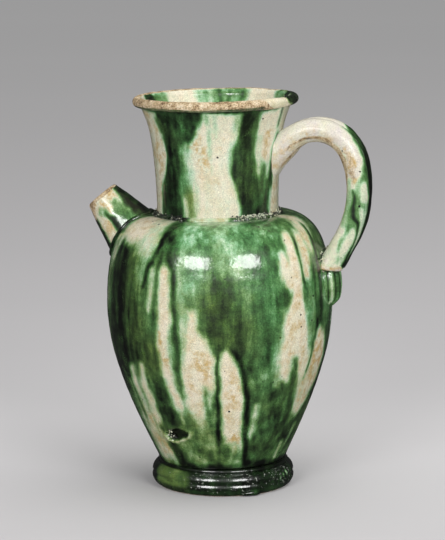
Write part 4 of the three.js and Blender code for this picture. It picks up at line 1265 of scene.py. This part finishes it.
def crumbs(name, spots, seed, leaning=True):
    """Grains of grit fused into the glaze: each spot is (place in mm, size, pale or not)."""
    draw = random.Random(seed)
    bm = bmesh.new()
    paleness = bm.verts.layers.float.new("paleness")
    for place, size, pale in spots:
        turn = Matrix.Rotation(draw.uniform(0, 6.28), 4, Vector((draw.random(), draw.random(), draw.random())))
        stretch = Matrix.Diagonal((draw.uniform(0.6, 1.2), draw.uniform(0.6, 1.2), draw.uniform(0.5, 1.0), 1))
        made = bmesh.ops.create_icosphere(
            bm, subdivisions=1, radius=size, matrix=Matrix.Translation(place) @ turn @ stretch
        )
        for v in made["verts"]:
            v[paleness] = pale
    pale = np.array([v[paleness] for v in bm.verts])
    levels = {"copper": np.where(pale > 0.5, 0.1, 1.0), "wear": pale * 0.15, "iron": pale * 0.2}
    return finished(bm, name, shared_material("fused_kiln_grit", mottle=0.8, gloss=0.3), levels,
                    leaning=leaning)


def make_grit():
    """Grit along the neck's seam, in the handle's crotch and at the pit."""
    draw = random.Random(3)
    spots = []
    for _ in range(800):
        degrees = draw.choice([draw.uniform(*span) for span in ((-66, 0), (-62, -20), (-172, -112), (0, 180))])
        bearing = math.radians(degrees)
        rise = draw.uniform(0, 1)
        radius = NECK_RADIUS + 0.4 + 1.7 * (1 - rise) + draw.uniform(-0.3, 0.2)
        place = Vector((radius * math.cos(bearing), radius * math.sin(bearing), NECK_BASE - 0.2 + 2.5 * rise))
        whiter = 0.6 if -62 < degrees < 0 else 0.12
        spots.append((place, draw.uniform(0.16, 0.46), 1.0 if draw.random() < whiter else 0.0))
    neck_grit = crumbs("neck_seam_grit", spots, 4)
    spots = []
    for _ in range(46):
        place = Vector((57.6 + draw.uniform(-1.2, 0.8), draw.choice((-1, 1)) * draw.uniform(7, 12.6),
                        draw.uniform(115, 127)))
        spots.append((place, draw.uniform(0.35, 0.8), 1.0 if draw.random() < 0.75 else 0.0))
    crotch_grit = crumbs("handle_crotch_grit", spots, 5)
    spots = []
    for _ in range(40):
        bearing = math.radians(PIT["bearing"] + draw.uniform(-12, -2))
        height = PIT["height"] + draw.uniform(-2.6, 1.2)
        radius = 43 + (height - PIT["height"]) * 0.42 - draw.uniform(0.2, 1.4)
        place = Vector((radius * math.cos(bearing), radius * math.sin(bearing), height))
        spots.append((place, draw.uniform(0.25, 0.6), 1.0 if draw.random() < 0.45 else 0.0))
    pit_grit = crumbs("pit_crumbs", spots, 6)
    return neck_grit, crotch_grit, pit_grit


# ---- the stage ----
def soft_light(name, azimuth, elevation, distance, width, height, power):
    """A softbox aimed at the middle of the pot. Azimuth 0 is over -Y and 90 over +X, in degrees."""
    target = Vector((0, 0, 0.12))
    a, e = math.radians(azimuth), math.radians(elevation)
    towards = Vector((math.sin(a) * math.cos(e), -math.cos(a) * math.cos(e), math.sin(e)))
    data = bpy.data.lights.new(name, "AREA")
    data.shape = "ELLIPSE"
    data.size, data.size_y = width, height
    data.energy = power
    light = bpy.data.objects.new(name, data)
    light.location = target + towards * distance
    light.rotation_euler = towards.to_track_quat("Z", "Y").to_euler()
    bpy.context.scene.collection.objects.link(light)
    return light


def make_stage():
    """A pale sweep, two softboxes in front, a broad light overhead on the handle's side, and the camera."""
    setup = bpy.context.scene.ewer_stage
    facing = math.degrees(setup.azimuth)
    bm = bmesh.new()
    bmesh.ops.create_grid(bm, x_segments=8, y_segments=8, size=14)
    mesh = bpy.data.meshes.new("paper_sweep")
    bm.to_mesh(mesh)
    bm.free()
    floor = bpy.data.objects.new("paper_sweep", mesh)
    floor.data.materials.append(sweep_material())
    bpy.context.scene.collection.objects.link(floor)

    soft_light("left_softbox", facing - 25, 24, 1.5, 0.72, 0.40, setup.front_power)
    soft_light("right_softbox", facing + 30, 24, 1.5, 0.72, 0.40, setup.front_power)
    overhead = soft_light("overhead_softbox", facing + 90, 79, 2.0, 2.4, 2.4, setup.top_power)
    overhead.visible_glossy = False

    world = bpy.data.worlds.new("studio_air")
    world.use_nodes = True
    tree = world.node_tree
    tree.nodes.clear()
    rays = add(tree, "ShaderNodeLightPath")
    # the camera sees a plain grey wall, reflections a dark one, and the rest is an even fill
    seen = add(tree, "ShaderNodeBackground", {"Color": linear("#9b9b9b"), "Strength": 1.0})
    fill = add(tree, "ShaderNodeBackground", {"Color": linear("#808080"), "Strength": setup.fill})
    gloss = add(tree, "ShaderNodeBackground", {"Color": linear("#303030"), "Strength": 1.0})
    mixed = add(tree, "ShaderNodeMixShader", {0: rays.outputs["Is Glossy Ray"], 1: fill, 2: gloss})
    mixed = add(tree, "ShaderNodeMixShader", {0: rays.outputs["Is Camera Ray"], 1: mixed, 2: seen})
    add(tree, "ShaderNodeOutputWorld", {"Surface": mixed})
    bpy.context.scene.world = world
    bpy.context.scene.view_settings.view_transform = "Standard"

    data = bpy.data.cameras.new("viewpoint")
    data.sensor_width = 36
    data.lens = setup.lens
    camera = bpy.data.objects.new("viewpoint", data)
    a, e = setup.azimuth, setup.elevation
    back = Vector((math.sin(a) * math.cos(e), -math.cos(a) * math.cos(e), math.sin(e)))
    right = Vector((math.cos(a), math.sin(a), 0))
    target = Vector((0, 0, 0.11495)) + right * -0.00027
    camera.location = target + back * setup.distance
    camera.rotation_euler = back.to_track_quat("Z", "Y").to_euler()
    bpy.context.scene.collection.objects.link(camera)
    bpy.context.scene.camera = camera


# ---- settings ----
def colour_setting(name, description, hex_colour):
    """A colour that a user can change."""
    return FloatVectorProperty(
        name=name, description=description, default=linear(hex_colour), size=4, min=0, max=1, subtype="COLOR"
    )


def length_setting(name, description, metres):
    """A length that a user can change."""
    return FloatProperty(name=name, description=description, default=metres, min=0, unit="LENGTH", precision=5)


class EwerShape(bpy.types.PropertyGroup):
    """Sizes that leave the frame's dimensions alone."""

    ring_depth: length_setting("Throwing rings", "Height of the rings that the potter's fingers left", 0.00003)
    wobble: length_setting("Wobble", "How far the walls wander from a true circle", 0.00035)
    strand_radius: length_setting("Roll radius", "Radius of each clay roll in the handle", 0.00615)


class EwerFinish(bpy.types.PropertyGroup):
    """Colours of the glaze from no copper to most, and of the clay."""

    cream: colour_setting("Cream", "Lead glaze over the pale slip", "#ebe2cb")
    mint: colour_setting("Mint", "A trace of copper", "#c2dec2")
    leaf: colour_setting("Leaf green", "Copper glaze of middling depth", "#5b9259")
    olive: colour_setting("Olive", "Copper glaze warmed by iron", "#657f3f")
    deep: colour_setting("Deep green", "Thick copper glaze", "#203a1e")
    black: colour_setting("Green-black", "The thickest pooled glaze", "#080d07")
    tan: colour_setting("Tan", "Iron stain in the cream", "#c8a860")
    clay: colour_setting("Clay", "Bare buff earthenware", "#cab28b")


class EwerStage(bpy.types.PropertyGroup):
    """Camera and light."""

    azimuth: FloatProperty(
        name="Azimuth", description="Where the camera stands, from -Y towards +X", default=math.radians(12),
        subtype="ANGLE",
    )
    elevation: FloatProperty(
        name="Elevation", description="How high the camera stands above the horizon", default=math.radians(9.42),
        subtype="ANGLE",
    )
    distance: length_setting("Distance", "From the camera to the middle of the pot", 1.3194)
    lens: FloatProperty(name="Lens", description="Focal length", default=165.3, min=1, unit="CAMERA")
    front_power: FloatProperty(
        name="Front lights", description="Power of each front softbox", default=9.5, min=0, unit="POWER"
    )
    top_power: FloatProperty(
        name="Top light", description="Power of the overhead light", default=31, min=0, unit="POWER"
    )
    fill: FloatProperty(name="Fill", description="Strength of the light from all round", default=0.7, min=0)


# ---- operators ----
class EWER_OT_belly(bpy.types.Operator):
    """Throw the belly and run its glaze"""

    bl_idname = "ewer.belly"
    bl_label = "Belly"

    def execute(self, context):
        make_belly()
        return {"FINISHED"}


class EWER_OT_neck(bpy.types.Operator):
    """Throw the neck and roll its lip"""

    bl_idname = "ewer.neck"
    bl_label = "Neck and lip"

    def execute(self, context):
        make_neck()
        make_lip()
        return {"FINISHED"}


class EWER_OT_spout(bpy.types.Operator):
    """Draw the spout and lute it to the shoulder"""

    bl_idname = "ewer.spout"
    bl_label = "Spout"

    def execute(self, context):
        make_spout()
        make_spout_seam()
        return {"FINISHED"}


class EWER_OT_handle(bpy.types.Operator):
    """Lay the handle's two rolls and press the leaf below them"""

    bl_idname = "ewer.handle"
    bl_label = "Handle"

    def execute(self, context):
        make_handle_roll(
            "handle_roll_front", "handle_strand_front", -1, FRONT_ROLL_COPPER, FRONT_ROLL_IRON, FRONT_ROLL_WEAR
        )
        make_handle_roll(
            "handle_roll_back", "handle_strand_back", 1, BACK_ROLL_COPPER, FRONT_ROLL_IRON[:1], BACK_ROLL_WEAR
        )
        make_leaf()
        return {"FINISHED"}


class EWER_OT_seams(bpy.types.Operator):
    """Lay the slip beads and the grit caught in them"""

    bl_idname = "ewer.seams"
    bl_label = "Seams and grit"

    def execute(self, context):
        make_seams()
        make_grit()
        return {"FINISHED"}


class EWER_OT_foot(bpy.types.Operator):
    """Turn the foot and hang the tear of glaze under it"""

    bl_idname = "ewer.foot"
    bl_label = "Foot"

    def execute(self, context):
        make_foot()
        make_tear()
        return {"FINISHED"}


class EWER_OT_stage(bpy.types.Operator):
    """Set the floor, the lights and the camera"""

    bl_idname = "ewer.stage"
    bl_label = "Stage"

    def execute(self, context):
        make_stage()
        return {"FINISHED"}


OPERATORS = (
    EWER_OT_stage, EWER_OT_belly, EWER_OT_neck, EWER_OT_spout, EWER_OT_handle, EWER_OT_seams, EWER_OT_foot,
)


class EWER_PT_panel(bpy.types.Panel):
    """Lists the ewer's settings and the steps that build it"""

    bl_idname = "EWER_PT_panel"
    bl_label = "Splash-glazed ewer"
    bl_space_type = "VIEW_3D"
    bl_region_type = "UI"
    bl_category = "Ewer"

    def draw(self, context):
        for settings in (context.scene.ewer_shape, context.scene.ewer_finish, context.scene.ewer_stage):
            box = self.layout.box()
            for name in settings.__annotations__:
                box.prop(settings, name)
        for operator in OPERATORS:
            self.layout.operator(operator.bl_idname)


CLASSES = (EwerShape, EwerFinish, EwerStage, *OPERATORS, EWER_PT_panel)


def register():
    for cls in CLASSES:
        bpy.utils.register_class(cls)
    bpy.types.Scene.ewer_shape = PointerProperty(type=EwerShape)
    bpy.types.Scene.ewer_finish = PointerProperty(type=EwerFinish)
    bpy.types.Scene.ewer_stage = PointerProperty(type=EwerStage)


def unregister():
    del bpy.types.Scene.ewer_stage
    del bpy.types.Scene.ewer_finish
    del bpy.types.Scene.ewer_shape
    for cls in reversed(CLASSES):
        bpy.utils.unregister_class(cls)


def main():
    register()
    bpy.ops.ewer.stage()
    bpy.ops.ewer.belly()
    bpy.ops.ewer.neck()
    bpy.ops.ewer.spout()
    bpy.ops.ewer.handle()
    bpy.ops.ewer.seams()
    bpy.ops.ewer.foot()


if __name__ == "__main__":
    main()
